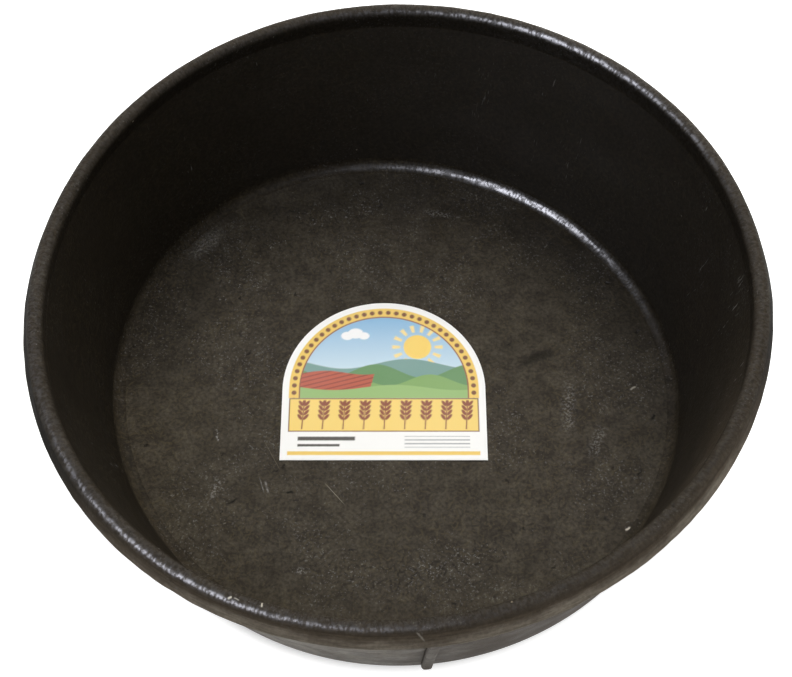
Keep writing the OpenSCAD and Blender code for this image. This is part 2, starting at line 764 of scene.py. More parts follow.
    def specks(self) -> bpy.types.NodeTree:
        """Ragged dots of mixed size, one in some cells: dust and chips.

        Returns:
            The group, with the dots as Mask and a random value for each as Tint.
        """
        board, got, out = self.start(
            Effect.SPECKS, {"Cell": 0.006, "Radius": 0.0005, "Share": 0.3}, ("Mask", "Tint")
        )
        reach = board.math("MULTIPLY", got.outputs["Radius"], 1.8)
        place = self.stirred(board, got.outputs["Place"], got.outputs["Radius"], reach)
        _, distance, lots = board.cells(place, got.outputs["Cell"], flat=False)
        size = board.math("ADD", board.math("POWER", lots.outputs[0], 2.0), 0.35)
        radius = board.math("MULTIPLY", got.outputs["Radius"], size)
        dot = board.fade(distance, board.math("MULTIPLY", radius, 0.4), radius, 1.0, 0.0)
        chosen = board.math("LESS_THAN", lots.outputs[2], got.outputs["Share"])
        board.feed(out.inputs["Mask"], board.math("MULTIPLY", dot, chosen))
        board.feed(out.inputs["Tint"], lots.outputs[1])
        return board.tree

    def chalk(self) -> bpy.types.NodeTree:
        """Grainy pale bits that gather in patches: chalky rubs and release dust.

        Returns:
            The group, with the bits as Mask.
        """
        board, got, out = self.start(
            Effect.CHALK, {"Patch": 0.03, "Grain": 0.0012, "Share": 0.4}, ("Mask",)
        )
        patch = board.noise(got.outputs["Place"], got.outputs["Patch"], 3.0, 0.6)
        grain = board.noise(got.outputs["Place"], got.outputs["Grain"], 2.0, 0.6)
        low = board.math("SUBTRACT", 0.74, board.math("MULTIPLY", got.outputs["Share"], 0.4))
        area = board.fade(patch, low, board.math("ADD", low, 0.2))
        bits = board.fade(grain, board.math("SUBTRACT", 0.70, board.math("MULTIPLY", area, 0.14)), 0.76)
        board.feed(out.inputs["Mask"], board.math("MULTIPLY", area, bits))
        return board.tree

    def grain(self) -> bpy.types.NodeTree:
        """Fine moulded skin: a sum of a pebbly and a coarser noise.

        Returns:
            The group, with the skin as Height.
        """
        board, got, out = self.start(Effect.GRAIN, {"Size": 0.0012, "Coarse": 0.006}, ("Height",))
        fine = board.noise(got.outputs["Place"], got.outputs["Size"], 1.0, 0.5)
        broad = board.noise(got.outputs["Place"], got.outputs["Coarse"], 2.0, 0.5)
        board.feed(out.inputs["Height"], board.math("ADD", fine, board.math("MULTIPLY", broad, 1.2)))
        return board.tree

    def clouds(self) -> bpy.types.NodeTree:
        """Cloudy change of tone.

        Returns:
            The group, with the tone as Value.
        """
        board, got, out = self.start(Effect.CLOUDS, {"Size": 0.08}, ("Value",))
        cloud = board.noise(got.outputs["Place"], got.outputs["Size"], 4.0, 0.6)
        board.feed(out.inputs["Value"], board.fade(cloud, 0.32, 0.68))
        return board.tree


SHELF = EffectShelf()


def new_material(name: str) -> tuple[bpy.types.Material, Board, bpy.types.Node]:
    """A material with one shader.

    Args:
        name: Name of the material.

    Returns:
        The material, the board of its tree and its shader node.
    """
    material = bpy.data.materials.new(name)
    material.use_nodes = True
    board = Board(material.node_tree)
    return material, board, material.node_tree.nodes["Principled BSDF"]


def apply_effect(board: Board, effect: Effect, place: object, **values: object) -> bpy.types.Node:
    """Places a shared effect in a material.

    Args:
        board: Board of the material.
        effect: The effect.
        place: Socket of the place on the surface.
        **values: Values of the effect's inputs.

    Returns:
        The effect's node.
    """
    node = board.node("ShaderNodeGroup", node_tree=SHELF.get(effect))
    board.feed(node.inputs["Place"], place)
    for key, value in values.items():
        board.feed(node.inputs[key.capitalize()], value)
    return node


def cloudy(board: Board, place: object, size: float) -> Socket:
    """Cloudy tone whose clouds have a size in metres."""
    return apply_effect(board, Effect.CLOUDS, place, size=size).outputs[0]


# Finishes


CLOUD_SIZE = 0.07
PATCH_SIZE = 0.011
SPOT_SIZE = 0.0019
DRIFT_SIZE = 0.03
STREAK_SIZE = 0.0016
GATHER_SIZE = 0.03
SHEEN_SIZE = 0.02
GRIT_SIZE = 0.0012
GLINT_SIZE = 0.0014
BUNCH_SIZE = 0.006
PATCH_SHIFT = (0.3, 0.1, 0.2)
DRIFT_SHIFT = (0.5, 0.2, 0.6)
GRIT_SHIFT = (0.2, 0.5, 0.3)
SHEEN_SHIFT = (0.7, 0.4, 0.1)
STREAK_STRETCH = (0.14, 1.0, 1.0)
SCUFF_STRETCH = (1.0, 0.16, 1.0)
GLINT_STRETCH = (1.0, 0.5, 1.0)
THIN_DUST = 0.35
CHALK_TONE = (158, 156, 154)
TORN_TONE = (16, 14, 11)


@dataclass(frozen=True)
class Mark:
    """One scratch, rub or tear at its own place on the floor or the lip.

    Attributes:
        x: Place of its middle across the tub.
        y: Place of its middle from front to back.
        turn: Direction of its length from +X, in degrees.
        length: Its length.
        width: Its width.
        cover: How strongly it covers the rubber.
        tone: Its colour.
        fray: How far its outline wanders.
        grit: How far it breaks up into bits.
    """

    x: float
    y: float
    turn: float
    length: float
    width: float
    cover: float
    tone: Colour = CHALK_TONE
    fray: float = 0.0006
    grit: float = 0.0

    def lay(self, board: Board, place: object, colour: object) -> Socket:
        """Lays the mark over a colour.

        Args:
            board: Board of the material.
            place: Socket of the place on the surface.
            colour: Colour under the mark.

        Returns:
            The colour with the mark.
        """
        stroke = apply_effect(
            board,
            Effect.STROKE,
            place,
            x=self.x,
            y=self.y,
            turn=self.turn,
            length=self.length,
            width=self.width,
            fray=self.fray,
            grit=self.grit,
        )
        return board.cover(colour, self.tone, stroke.outputs[0], self.cover)


@dataclass(frozen=True)
class Strokes:
    """A scatter of short bent strokes over a piece's chart.

    Attributes:
        shift: Way that the scatter is moved on the chart, so that no two of them line up.
        cell: Size of the cells that can hold a stroke.
        length: Length of a stroke.
        width: Width of a stroke.
        bend: How much a stroke bows.
        share: Share of the cells that hold a stroke.
        wander: How far the outlines wander.
        stir: Size of the waves in which they wander.
    """

    shift: Point
    cell: float
    length: float
    width: float
    bend: float
    share: float
    wander: float
    stir: float = 0.004

    def mask(self, board: Board, chart: object) -> Socket:
        """Mask of the strokes.

        Args:
            board: Board of the material.
            chart: Socket of the place on the piece's chart.

        Returns:
            The mask.
        """
        node = apply_effect(
            board,
            Effect.FLECKS,
            board.vector("ADD", chart, self.shift),
            cell=self.cell,
            length=self.length,
            width=self.width,
            bend=self.bend,
            share=self.share,
            wander=self.wander,
            stir=self.stir,
        )
        return node.outputs["Mask"]


LONG_CORD = Strokes((0.0, 0.0, 0.0), 0.0052, 0.0060, 0.0017, bend=90.0, share=0.8, wander=0.0016)
SHORT_CORD = Strokes((0.37, 0.61, 0.0), 0.0026, 0.0028, 0.0012, bend=120.0, share=0.7, wander=0.0008)
FURROWS = Strokes((0.71, 0.13, 0.0), 0.0042, 0.0062, 0.0019, bend=90.0, share=0.75, wander=0.0018)
PITS = Strokes((0.11, 0.23, 0.0), 0.020, 0.0036, 0.0022, bend=90.0, share=0.22, wander=0.0028, stir=0.0013)


@dataclass(frozen=True)
class RubberFinish:
    """Cord-flecked moulded rubber of one zone of the tub.

    Attributes:
        name: Name of the material.
        base: Main colour.
        shade: Second tone of the clouds.
        dark: Dark tone of the fine mottle, of furrows, and of the painted shade, where the piece's
            painted_shade attribute is high.
        pale: Pale tone of the fine mottle.
        outer: Colour of the dusty outside, where the piece's outer attribute is high.
        clay: Colour of the outside where its dust is thin.
        roughness: Roughness of the clean skin.
        patchy: How much the roughness changes from place to place.
        gloss: Level of the mirror-like reflection.
        fleck: Strength of the cord flecks.
        chalk: Strength of the chalky scuffs.
        speck: Strength of the specks.
        pit: Strength of the torn pits.
        grain: Depth of the moulded grain.
        marks: Single marks at places of their own.
        fleck_tone: Colour of the cord flecks.
        speck_tone: Colour of the specks.
        grit: Strength of the fine pale grit all over.
        scuff: Strength of the upright scuffs.
        skin: Size of the moulded grain.
        polish: Strength of the polished skin, where the piece's polish attribute is high.
        blur: Roughness of the polished skin.
        sparkle: How much the polished skin breaks up into glints.
        furrow: Strength of the furrows between cords, fullest where the piece's rub attribute is high.
        patch: Strength of the pale patches of the mottle.
        spot: Strength of the dark spots of the mottle.
        dust_spot: Strength of the bare spots in the dusty outside.
        streak: Strength of the bare streaks in the dusty outside.
    """

    name: str
    base: Colour
    shade: Colour
    dark: Colour
    pale: Colour
    roughness: float
    patchy: float
    gloss: float
    fleck: float
    chalk: float
    speck: float
    pit: float
    grain: float
    outer: Colour = (202, 194, 182)
    clay: Colour = (96, 84, 71)
    marks: tuple[Mark, ...] = ()
    fleck_tone: Colour = (108, 96, 66)
    speck_tone: Colour = (206, 192, 166)
    grit: float = 0.15
    scuff: float = 0.0
    skin: float = 0.0009
    polish: float = 0.0
    blur: float = 0.40
    sparkle: float = 0.8
    furrow: float = 0.0
    patch: float = 0.34
    spot: float = 0.52
    dust_spot: float = 0.25
    streak: float = 0.38

    def tone(self, board: Board, place: object, chart: object) -> Socket:
        """Ground colour: broad clouds, a brown and a grey mottle, a streaked dusty outside, and painted
        shade.

        Args:
            board: Board of the material.
            place: Socket of the place in the tub.
            chart: Socket of the place on the piece's chart.

        Returns:
            The colour.
        """
        outer = board.value("outer")
        drawn_out = board.vector("MULTIPLY", chart, STREAK_STRETCH)
        clouds = cloudy(board, place, CLOUD_SIZE)
        spots = cloudy(board, place, SPOT_SIZE)
        patches = cloudy(board, board.vector("ADD", place, PATCH_SHIFT), PATCH_SIZE)
        drift = cloudy(board, board.vector("ADD", place, DRIFT_SHIFT), DRIFT_SIZE)
        streaks = cloudy(board, drawn_out, STREAK_SIZE)
        colour = board.blend(clouds, solid(self.base), solid(self.shade))
        colour = board.cover(colour, self.pale, patches, self.patch)
        colour = board.cover(colour, self.dark, spots, self.spot)
        thick = board.math("MULTIPLY", outer, board.scaled(drift, gain=0.6, start=0.7))
        dust = board.blend(board.fade(thick, THIN_DUST, 1.0), solid(self.clay), solid(self.outer))
        dust = board.cover(dust, self.base, spots, self.dust_spot)
        dust = board.cover(dust, self.base, streaks, self.streak)
        colour = board.blend(board.fade(outer, 0.0, THIN_DUST), colour, dust)
        # Painted shade: the colour turns to the dark tone as far as the piece's shade attribute says.
        return board.blend(board.value("painted_shade"), colour, solid(self.dark))

    def cord(self, board: Board, place: object, chart: object) -> Socket:
        """Cord flecks of two lengths that lie thicker in some places.

        Args:
            board: Board of the material.
            place: Socket of the place in the tub.
            chart: Socket of the place on the piece's chart.

        Returns:
            The mask of the flecks.
        """
        both = board.math("MAXIMUM", LONG_CORD.mask(board, chart), SHORT_CORD.mask(board, chart))
        gather = cloudy(board, place, GATHER_SIZE)
        return board.math("MULTIPLY", both, board.scaled(gather, gain=0.8, start=0.2))

    def chalk_mask(self, board: Board, place: object) -> Socket:
        """Mask of the chalky scuffs, which gather where the piece's rub attribute is high.

        Args:
            board: Board of the material.
            place: Socket of the place in the tub.

        Returns:
            The mask.
        """
        share = board.scaled(board.value("rub"), gain=0.45, start=0.46)
        chalk = apply_effect(board, Effect.CHALK, place, patch=0.018, grain=GRIT_SIZE, share=share)
        return chalk.outputs[0]

    def wear(self, board: Board, place: object, chart: object, colour: object) -> Socket:
        """Fine pale grit all over, and upright scuffs where the piece's rub attribute is high.

        Args:
            board: Board of the material.
            place: Socket of the place in the tub.
            chart: Socket of the place on the piece's chart.
            colour: Colour under the wear.

        Returns:
            The worn colour.
        """
        moved = board.vector("ADD", place, GRIT_SHIFT)
        grit = apply_effect(board, Effect.CHALK, moved, patch=0.05, grain=GRIT_SIZE, share=0.9)
        upright = board.vector("MULTIPLY", chart, SCUFF_STRETCH)
        worn = board.scaled(board.value("rub"), gain=0.4, start=0.5)
        scuffs = apply_effect(board, Effect.CHALK, upright, patch=0.016, grain=0.0014, share=worn)
        colour = board.cover(colour, CHALK_TONE, grit.outputs[0], self.grit)
        return board.cover(colour, CHALK_TONE, scuffs.outputs[0], self.scuff)

    def shine(self, board: Board, place: object, chart: object) -> Socket:
        """Weight of the polished skin: the piece's polish attribute, broken up into bunches of fine glints.

        Args:
            board: Board of the material.
            place: Socket of the place in the tub.
            chart: Socket of the place on the piece's chart.

        Returns:
            The weight.
        """
        drawn_out = board.vector("MULTIPLY", chart, GLINT_STRETCH)
        hatched = board.noise(drawn_out, GLINT_SIZE, detail=2.0, rough=0.6)
        bunched = board.noise(place, BUNCH_SIZE, detail=1.0)
        sparkle = board.math("ADD", hatched, board.math("MULTIPLY", bunched, 0.25))
        glint = board.fade(sparkle, low=0.54, high=0.71, start=1.0 - self.sparkle)
        return board.math("MULTIPLY", glint, board.math("MULTIPLY", board.value("polish"), self.polish))

    def material(self) -> bpy.types.Material:
        """Builds the finish: ground colour under flecks, chalk, marks, pits and specks, over a grainy skin.

        Returns:
            The material.
        """
        material, board, shader = new_material(self.name)
        coords = board.node("ShaderNodeTexCoord")
        place = coords.outputs["Object"]
        chart = coords.outputs["UV"]
        chalk = self.chalk_mask(board, place)
        cord = self.cord(board, place, chart)
        pits = board.math("MULTIPLY", PITS.mask(board, chart), self.pit)
        rubbed = board.scaled(board.value("rub"), gain=0.65, start=0.35)
        worked = board.math("MULTIPLY", rubbed, self.furrow)
        dots = apply_effect(board, Effect.SPECKS, place, cell=0.010, radius=0.00060, share=0.3)
        dot_tone = board.blend(dots.outputs["Tint"], solid(CHALK_TONE), solid(self.speck_tone))
        dot_cover = board.math("MULTIPLY", dots.outputs["Mask"], self.speck)

        colour = self.tone(board, place, chart)
        colour = board.cover(colour, self.fleck_tone, cord, self.fleck)
        colour = board.cover(colour, self.dark, FURROWS.mask(board, chart), worked)
        colour = board.cover(colour, CHALK_TONE, chalk, self.chalk)
        colour = self.wear(board, place, chart, colour)
        colour = board.cover(colour, TORN_TONE, pits, 1.0)
        for mark in self.marks:
            colour = mark.lay(board, place, colour)
        colour = board.blend(dot_cover, colour, dot_tone)

        sheen = cloudy(board, board.vector("ADD", place, SHEEN_SHIFT), SHEEN_SIZE)
        dull = board.math("MULTIPLY", board.math("ADD", sheen, chalk), self.patchy)
        grain = apply_effect(board, Effect.GRAIN, place, size=self.skin, coarse=0.005).outputs[0]
        height = board.math("SUBTRACT", grain, board.math("MULTIPLY", pits, 3.0))
        height = board.math("ADD", height, board.math("MULTIPLY", cord, 0.4))
        bump = board.node("ShaderNodeBump", {"Height": height, "Strength": 1.0, "Distance": self.grain})
        board.feed(shader.inputs["Base Color"], colour)
        board.feed(shader.inputs["Roughness"], board.math("ADD", dull, self.roughness))
        board.feed(shader.inputs["Normal"], bump.outputs[0])
        board.feed(shader.inputs["Coat Weight"], self.shine(board, place, chart))
        shader.inputs["Coat Roughness"].default_value = self.blur
        shader.inputs["Specular IOR Level"].default_value = self.gloss
        return material


FLOOR_MARKS = (
    Mark(-0.063, -0.041, -62.0, 0.023, 0.0005, 0.5, tone=(120, 112, 92), fray=0.0003),
    Mark(-0.030, -0.063, -49.0, 0.018, 0.0005, 0.6, tone=(164, 158, 144), fray=0.0003),
    Mark(-0.0675, -0.058, -72.0, 0.011, 0.0010, 0.45, grit=0.5),
    Mark(-0.065, -0.059, -74.0, 0.009, 0.0018, 0.5, grit=0.6),
    Mark(-0.091, -0.060, 75.0, 0.016, 0.0070, 0.4, fray=0.0050, grit=1.0),
    Mark(-0.092, -0.029, -78.0, 0.012, 0.0022, 0.6, fray=0.0020, grit=1.0),
    Mark(-0.0535, -0.0385, 20.0, 0.010, 0.0014, 0.5, tone=(120, 108, 84), fray=0.0020),
    Mark(-0.0545, -0.0395, 15.0, 0.007, 0.0022, 0.95, tone=TORN_TONE, fray=0.0030),
    Mark(-0.053, -0.062, 5.0, 0.005, 0.0024, 0.95, tone=TORN_TONE, fray=0.0032),
    Mark(-0.082, -0.067, 40.0, 0.008, 0.0022, 0.75, tone=TORN_TONE, fray=0.0036),
    Mark(-0.046, -0.105, 0.0, 0.009, 0.0050, 0.45, fray=0.0035, grit=1.0),
    Mark(0.077, 0.018, 23.0, 0.028, 0.0090, 0.6, tone=TORN_TONE, fray=0.0050),
    Mark(0.093, -0.012, 85.0, 0.040, 0.0100, 0.28, fray=0.0060, grit=1.0),
    Mark(0.106, -0.034, 70.0, 0.026, 0.0090, 0.28, fray=0.0060, grit=1.0),
    Mark(0.1185, -0.0825, 30.0, 0.004, 0.0018, 0.9, tone=(214, 206, 190), fray=0.0010),
    Mark(0.1368, -0.0186, 80.0, 0.005, 0.0024, 0.9, tone=TORN_TONE, fray=0.0020),
    Mark(0.127, -0.051, 60.0, 0.006, 0.0024, 0.8, tone=TORN_TONE, fray=0.0030),
    Mark(0.1277, -0.0012, 30.0, 0.005, 0.0016, 0.7, tone=(170, 164, 152), fray=0.0012),
    Mark(0.0255, 0.113, -15.0, 0.020, 0.0060, 0.4, fray=0.0050, grit=1.0),
    Mark(-0.106, 0.091, 50.0, 0.030, 0.0140, 0.35, fray=0.0080, grit=0.8),
)
LIP_MARKS = (
    Mark(-0.0684, -0.1599, 20.0, 0.0022, 0.0016, 0.9, tone=(224, 218, 206)),
    Mark(-0.0655, -0.1604, -30.0, 0.0030, 0.0010, 0.6, tone=(200, 194, 182)),
    Mark(-0.0564, -0.1576, 15.0, 0.0036, 0.0014, 0.9, tone=(224, 216, 200)),
    Mark(-0.0548, -0.1628, 85.0, 0.0030, 0.0012, 0.8, tone=(214, 206, 190)),
    Mark(0.0113, -0.1756, -30.0, 0.0050, 0.0010, 0.7, tone=(196, 190, 178)),
)
FLOOR_RUBBER = RubberFinish(
    name="tub_floor_rubber",
    base=(63, 57, 46),
    shade=(59, 53, 44),
    dark=(32, 28, 23),
    pale=(103, 96, 82),
    roughness=0.44,
    patchy=0.14,
    gloss=0.06,
    fleck=0.20,
    chalk=0.5,
    speck=0.7,
    pit=0.6,
    grain=0.00022,
    marks=FLOOR_MARKS,
    grit=0.28,
    furrow=0.65,
)
HEEL_RUBBER = RubberFinish(
    name="tub_heel_rubber",
    base=(56, 49, 39),
    shade=(48, 43, 35),
    dark=(26, 23, 19),
    pale=(80, 74, 63),
    roughness=0.45,
    patchy=0.04,
    gloss=0.03,
    fleck=0.16,
    chalk=0.2,
    speck=0.3,
    pit=0.2,
    grain=0.00016,
    grit=0.22,
    skin=0.0008,
    polish=0.85,
    blur=0.33,
    furrow=0.4,
)
# Painted shade: the wall's rubber has darker tones than the floor's, for the shade inside the tub.
WALL_RUBBER = RubberFinish(
    name="tub_wall_rubber",
    base=(48, 43, 34),
    shade=(49, 43, 35),
    dark=(27, 24, 20),
    pale=(54, 48, 40),
    roughness=0.46,
    patchy=0.10,
    gloss=0.03,
    fleck=0.08,
    chalk=0.2,
    speck=0.3,
    pit=0.15,
    grain=0.00014,
    grit=0.08,
    scuff=0.7,
    polish=0.10,
    blur=0.46,
    sparkle=0.25,
)
LIP_RUBBER = RubberFinish(
    name="tub_lip_rubber",
    base=(63, 57, 49),
    shade=(57, 51, 43),
    dark=(28, 25, 21),
    pale=(73, 67, 59),
    roughness=0.50,
    patchy=0.06,
    gloss=0.01,
    fleck=0.08,
    chalk=0.5,
    speck=0.6,
    pit=0.3,
    grain=0.00016,
    outer=(184, 173, 157),
    clay=(118, 106, 92),
    marks=LIP_MARKS,
    skin=0.0008,
    polish=1.0,
)


def hand_over(
    piece: bpy.types.Object, node: str, material: bpy.types.Material
) -> bpy.types.Object:
    """Dresses a finished piece and puts it in the place of its CAD node.

    Args:
        piece: The piece.
        node: CAD node that it stands for.
        material: Its material.

    Returns:
        The same piece.
    """
    piece.data.materials.append(material)
    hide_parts(node)
    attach(piece, "root")
    LOG.info("%s stands for %s with %d faces", piece.name, node, len(piece.data.polygons))
    return piece


# Rubber moulding


@dataclass
class Moulding:
    """The moulded zones of the tub: floor, heel, wall and lip.

    Attributes:
        form: The tub's form.
        pole_share: Radius of the innermost ring of the floor, as a share of the floor's radius.
        dip_edge: Distance from the floor's edge over which its dips fade in.
        dip_middle: Distance from the floor's middle over which its dips fade in.
        floor_dips: Shallow dips in the floor.
        heel_lumps: Unevenness of the hollow corner.
        wall_lumps: Unevenness of the wall.
        lip_lumps: Unevenness of the lip along its length.
        lip_knocks: Small knocks and tears in the lip.
        lip_flash: Ragged flash at the lip's lower edge.
        seam_fade: Distance from the wall's seams over which its lumps fade in.
        scuff_low: Height inside the wall where scuffs and haze start.
        scuff_rise: Height over which they grow to full.
        heel_dim: Polish of the hollow corner everywhere.
        heel_glow: Polish that is added where the corner shines.
        wall_haze: Thin dust inside the wall.
        wall_shade: Painted shade on a stretch inside the wall, at its left.
        wall_scuff: Stretch of the upright scuffs inside the wall.
        lip_dust_and_shade: Dust on the lip's outside, and painted shade where it thins at the sides and
            back.
        lip_dim: Polish of the lip everywhere.
        lip_glows: Polish that is added where the lip shines.
        lip_inside_lighter: Stretch where the painted shade inside the lip is lighter.
    """

    form: TubForm
    pole_share: float = 0.015
    dip_edge: float = 0.012
    dip_middle: float = 0.02
    floor_dips: Lumps = Lumps(0.00015, 11, (3.0, 26.0))
    heel_lumps: Lumps = Lumps(0.00005, 23, (2.0, 5.0))
    wall_lumps: Lumps = Lumps(0.00022, 31, (3.0, 14.0))
    lip_lumps: Lumps = Lumps(0.00008, 41, (6.0, 30.0))
    lip_knocks: Lumps = Lumps(0.00005, 43, (1.5, 3.0))
    lip_flash: Lumps = Lumps(0.00010, 47, (0.1, 2.0))
    seam_fade: float = 0.015
    scuff_low: float = 0.045
    scuff_rise: float = 0.045
    heel_dim: float = 0.04
    heel_glow: Swell = Swell(0.96, 56.0, 33.0)
    wall_haze: Swell = Swell(0.16, -38.0, 28.0)
    wall_shade: Swell = Swell(0.75, -158.0, 50.0)
    wall_scuff: Swell = Swell(1.0, -12.0, 34.0)
    lip_dust_and_shade: DustShadeSpread = DustShadeSpread(-80.0, 44.0, 30.0, 0.06)
    lip_dim: float = 0.36
    lip_glows: tuple[Swell, ...] = (Swell(0.62, 52.0, 30.0), Swell(0.25, -135.0, 42.0))
    lip_inside_lighter: Swell = Swell(0.6, -18.0, 40.0)

    def build(self) -> list[bpy.types.Object]:
        """Builds and dresses the four zones.

        Returns:
            The pieces.
        """
        return [self.floor(), self.heel(), self.wall(), self.lip()]

    def floor(self) -> bpy.types.Object:
        """Disc of the floor: rings from a pole under it, out round its edge and back to a pole on top.

        Returns:
            The dressed piece.
        """
        form = self.form
        inner = form.floor_r * self.pole_share
        under = line((inner, 0.0), (form.floor_r, 0.0), 8)
        rim = line((form.floor_r, 0.0), (form.floor_r, form.floor_t), 1)
        top = line((form.floor_r, form.floor_t), (inner, form.floor_t), 64)
        profile = np.vstack([under, rim, top])
        rows = len(profile)
        theta = np.broadcast_to(directions(), (rows, COLUMNS))
        radius = np.broadcast_to(profile[:, :1], (rows, COLUMNS))
        on_top = np.arange(rows) > len(under)
        edge_hold = np.clip((form.floor_r - profile[:, 0]) / self.dip_edge, 0.0, 1.0)
        hold = edge_hold * np.clip(profile[:, 0] / self.dip_middle, 0.0, 1.0)
        dips = np.abs(self.floor_dips.heights(rows, COLUMNS))
        z = profile[:, 1:] - (on_top * hold)[:, None] * dips
        points = form.place(theta, radius, z)
        poles = np.array([[0.0, 0.0, 0.0], [0.0, 0.0, form.floor_t]])
        ring = np.arange(COLUMNS)
        after = (ring + 1) % COLUMNS
        low = np.column_stack([np.full(COLUMNS, rows * COLUMNS), after, ring])
        last = (rows - 1) * COLUMNS
        high = np.column_stack([np.full(COLUMNS, rows * COLUMNS + 1), last + ring, last + after])
        points = np.vstack([points, poles])
        quads = grid_quads(rows, COLUMNS, closed=False)
        triangles = np.vstack([low, high])
        chart = np.vstack([points[quads.ravel(), :2], points[triangles.ravel(), :2]])
        surface = Surface(points, quads, triangles, [], chart)
        piece = surface.to_object("tub_floor")
        add_values(piece, "rub", self.floor_rub(points))
        add_values(piece, "painted_shade", self.floor_shade(points))
        return hand_over(piece, "floor_slab", FLOOR_RUBBER.material())

    def floor_rub(self, points: Array) -> Array:
        """How chalky the floor is: a worn arc near the front edge and a fainter one at the back left.

        Args:
            points: Places of the floor's points.

        Returns:
            One value per point.
        """
        radius = np.hypot(points[:, 0], points[:, 1])
        theta = np.degrees(np.arctan2(points[:, 1], points[:, 0]))
        front = np.exp(-(((radius - 0.108) / 0.010) ** 2) - ((theta + 82.0) / 40.0) ** 2)
        back = np.exp(-(((radius - 0.118) / 0.016) ** 2) - ((theta - 125.0) / 40.0) ** 2)
        return front + 0.8 * back

    def floor_shade(self, points: Array) -> Array:
        """Painted shade on the floor near its edge, where the walls shade it: a ring that fades inwards,
        strongest at the back right.

        Args:
            points: Places of the floor's points.

        Returns:
            One value per point.
        """
        ring = ease((np.hypot(points[:, 0], points[:, 1]) - 0.096) / 0.036)
        theta = np.degrees(np.arctan2(points[:, 1], points[:, 0]))
        right = 0.55 * np.exp(-(((theta - 50.0) / 55.0) ** 2))
        left = 0.42 * np.exp(-(((theta - 162.0) / 30.0) ** 2))
        return ring * (right + left)

    def heel(self) -> bpy.types.Object:
        """Corner ring: rounded foot outside, hollow curve inside that just touches the floor and the wall.

        Returns:
            The dressed piece.
        """
        form = self.form
        tilt = math.degrees(math.atan(form.flare))
        foot_x = form.outer_r(form.foot_r) - form.foot_r * math.hypot(1.0, form.flare)
        top = form.heel_top
        bottom = line((form.floor_r, 0.0), (foot_x, 0.0), 3)
        foot = arc((foot_x, form.foot_r), form.foot_r, -90.0, -tilt, 6)
        foot_end = arc((foot_x, form.foot_r), form.foot_r, -tilt, 0.0, 1)[0]
        outside = line(foot_end, (form.outer_r(top), top), 9)
        seam = line((form.outer_r(top), top), (form.inner_r(top), top), 2)
        hollow_centre = (form.floor_r, top)
        touch = arc(hollow_centre, form.hollow_r, -tilt, 0.0, 1)[0]
        straight = line((form.inner_r(top), top), touch, 2)
        hollow = arc(hollow_centre, form.hollow_r, -tilt, -90.0, 20)
        edge = line((form.floor_r, form.floor_t), (form.floor_r, 0.0), 1)
        profile = np.vstack([bottom, foot, outside, seam, straight, hollow, edge])
        rows = len(profile)
        first = rows - len(edge) - len(hollow)
        hold = np.zeros(rows)
        hold[first : rows - len(edge)] = np.sin(np.linspace(0.0, math.pi, len(hollow)))
        lift = hold[:, None] * self.heel_lumps.heights(rows, COLUMNS)
        piece = turned_ring(form, profile, lift).to_object("tub_heel")
        outer = np.zeros(rows)
        clear = len(bottom) + len(foot)
        outer[clear : clear + len(outside) + 1] = 1.0
        # The foot's dust fades out towards the floor, which paints a dark line of shade along the bottom
        # edge.
        outer[clear - 3 : clear] = (0.1, 0.3, 0.7)
        add_values(piece, "outer", np.outer(outer, wall_dust_and_shade(directions())).ravel())
        shone = self.heel_dim + self.heel_glow.at(directions())
        add_values(piece, "polish", np.outer(np.clip(hold * 3.0, 0.0, 1.0), shone).ravel())
        return hand_over(piece, "heel_ring", HEEL_RUBBER.material())

    def wall(self) -> bpy.types.Object:
        """Flaring wall: a slanting bar carried round, with slow lumps that fade out at its seams.

        Returns:
            The dressed piece.
        """
        form = self.form
        low, high = form.heel_top, form.lip_low
        count = 34
        profile = np.vstack(
            [
                line((form.inner_r(low), low), (form.outer_r(low), low), 2),
                line((form.outer_r(low), low), (form.outer_r(high), high), count),
                line((form.outer_r(high), high), (form.inner_r(high), high), 2),
                line((form.inner_r(high), high), (form.inner_r(low), low), count),
            ]
        )
        hold = np.clip(np.minimum(profile[:, 1] - low, high - profile[:, 1]) / self.seam_fade, 0.0, 1.0)
        lift = hold[:, None] * self.wall_lumps.heights(len(profile), COLUMNS)
        piece = turned_ring(form, profile, lift).to_object("tub_wall")
        outer = np.zeros(len(profile))
        outer[2 : count + 3] = 1.0
        upper = np.clip((profile[:, 1] - self.scuff_low) / self.scuff_rise, 0.0, 1.0) * (1.0 - outer)
        haze = np.outer(upper, self.wall_haze.at(directions()))
        add_values(piece, "outer", (np.outer(outer, wall_dust_and_shade(directions())) + haze).ravel())
        add_values(piece, "polish", np.repeat(1.0 - outer, COLUMNS))
        # Painted shade inside the wall, strongest at its left.
        add_values(piece, "painted_shade", np.outer(1.0 - outer, self.wall_shade.at(directions())).ravel())
        add_values(piece, "rub", np.outer(upper, self.wall_scuff.at(directions())).ravel())
        return hand_over(piece, "wall_band", WALL_RUBBER.material())

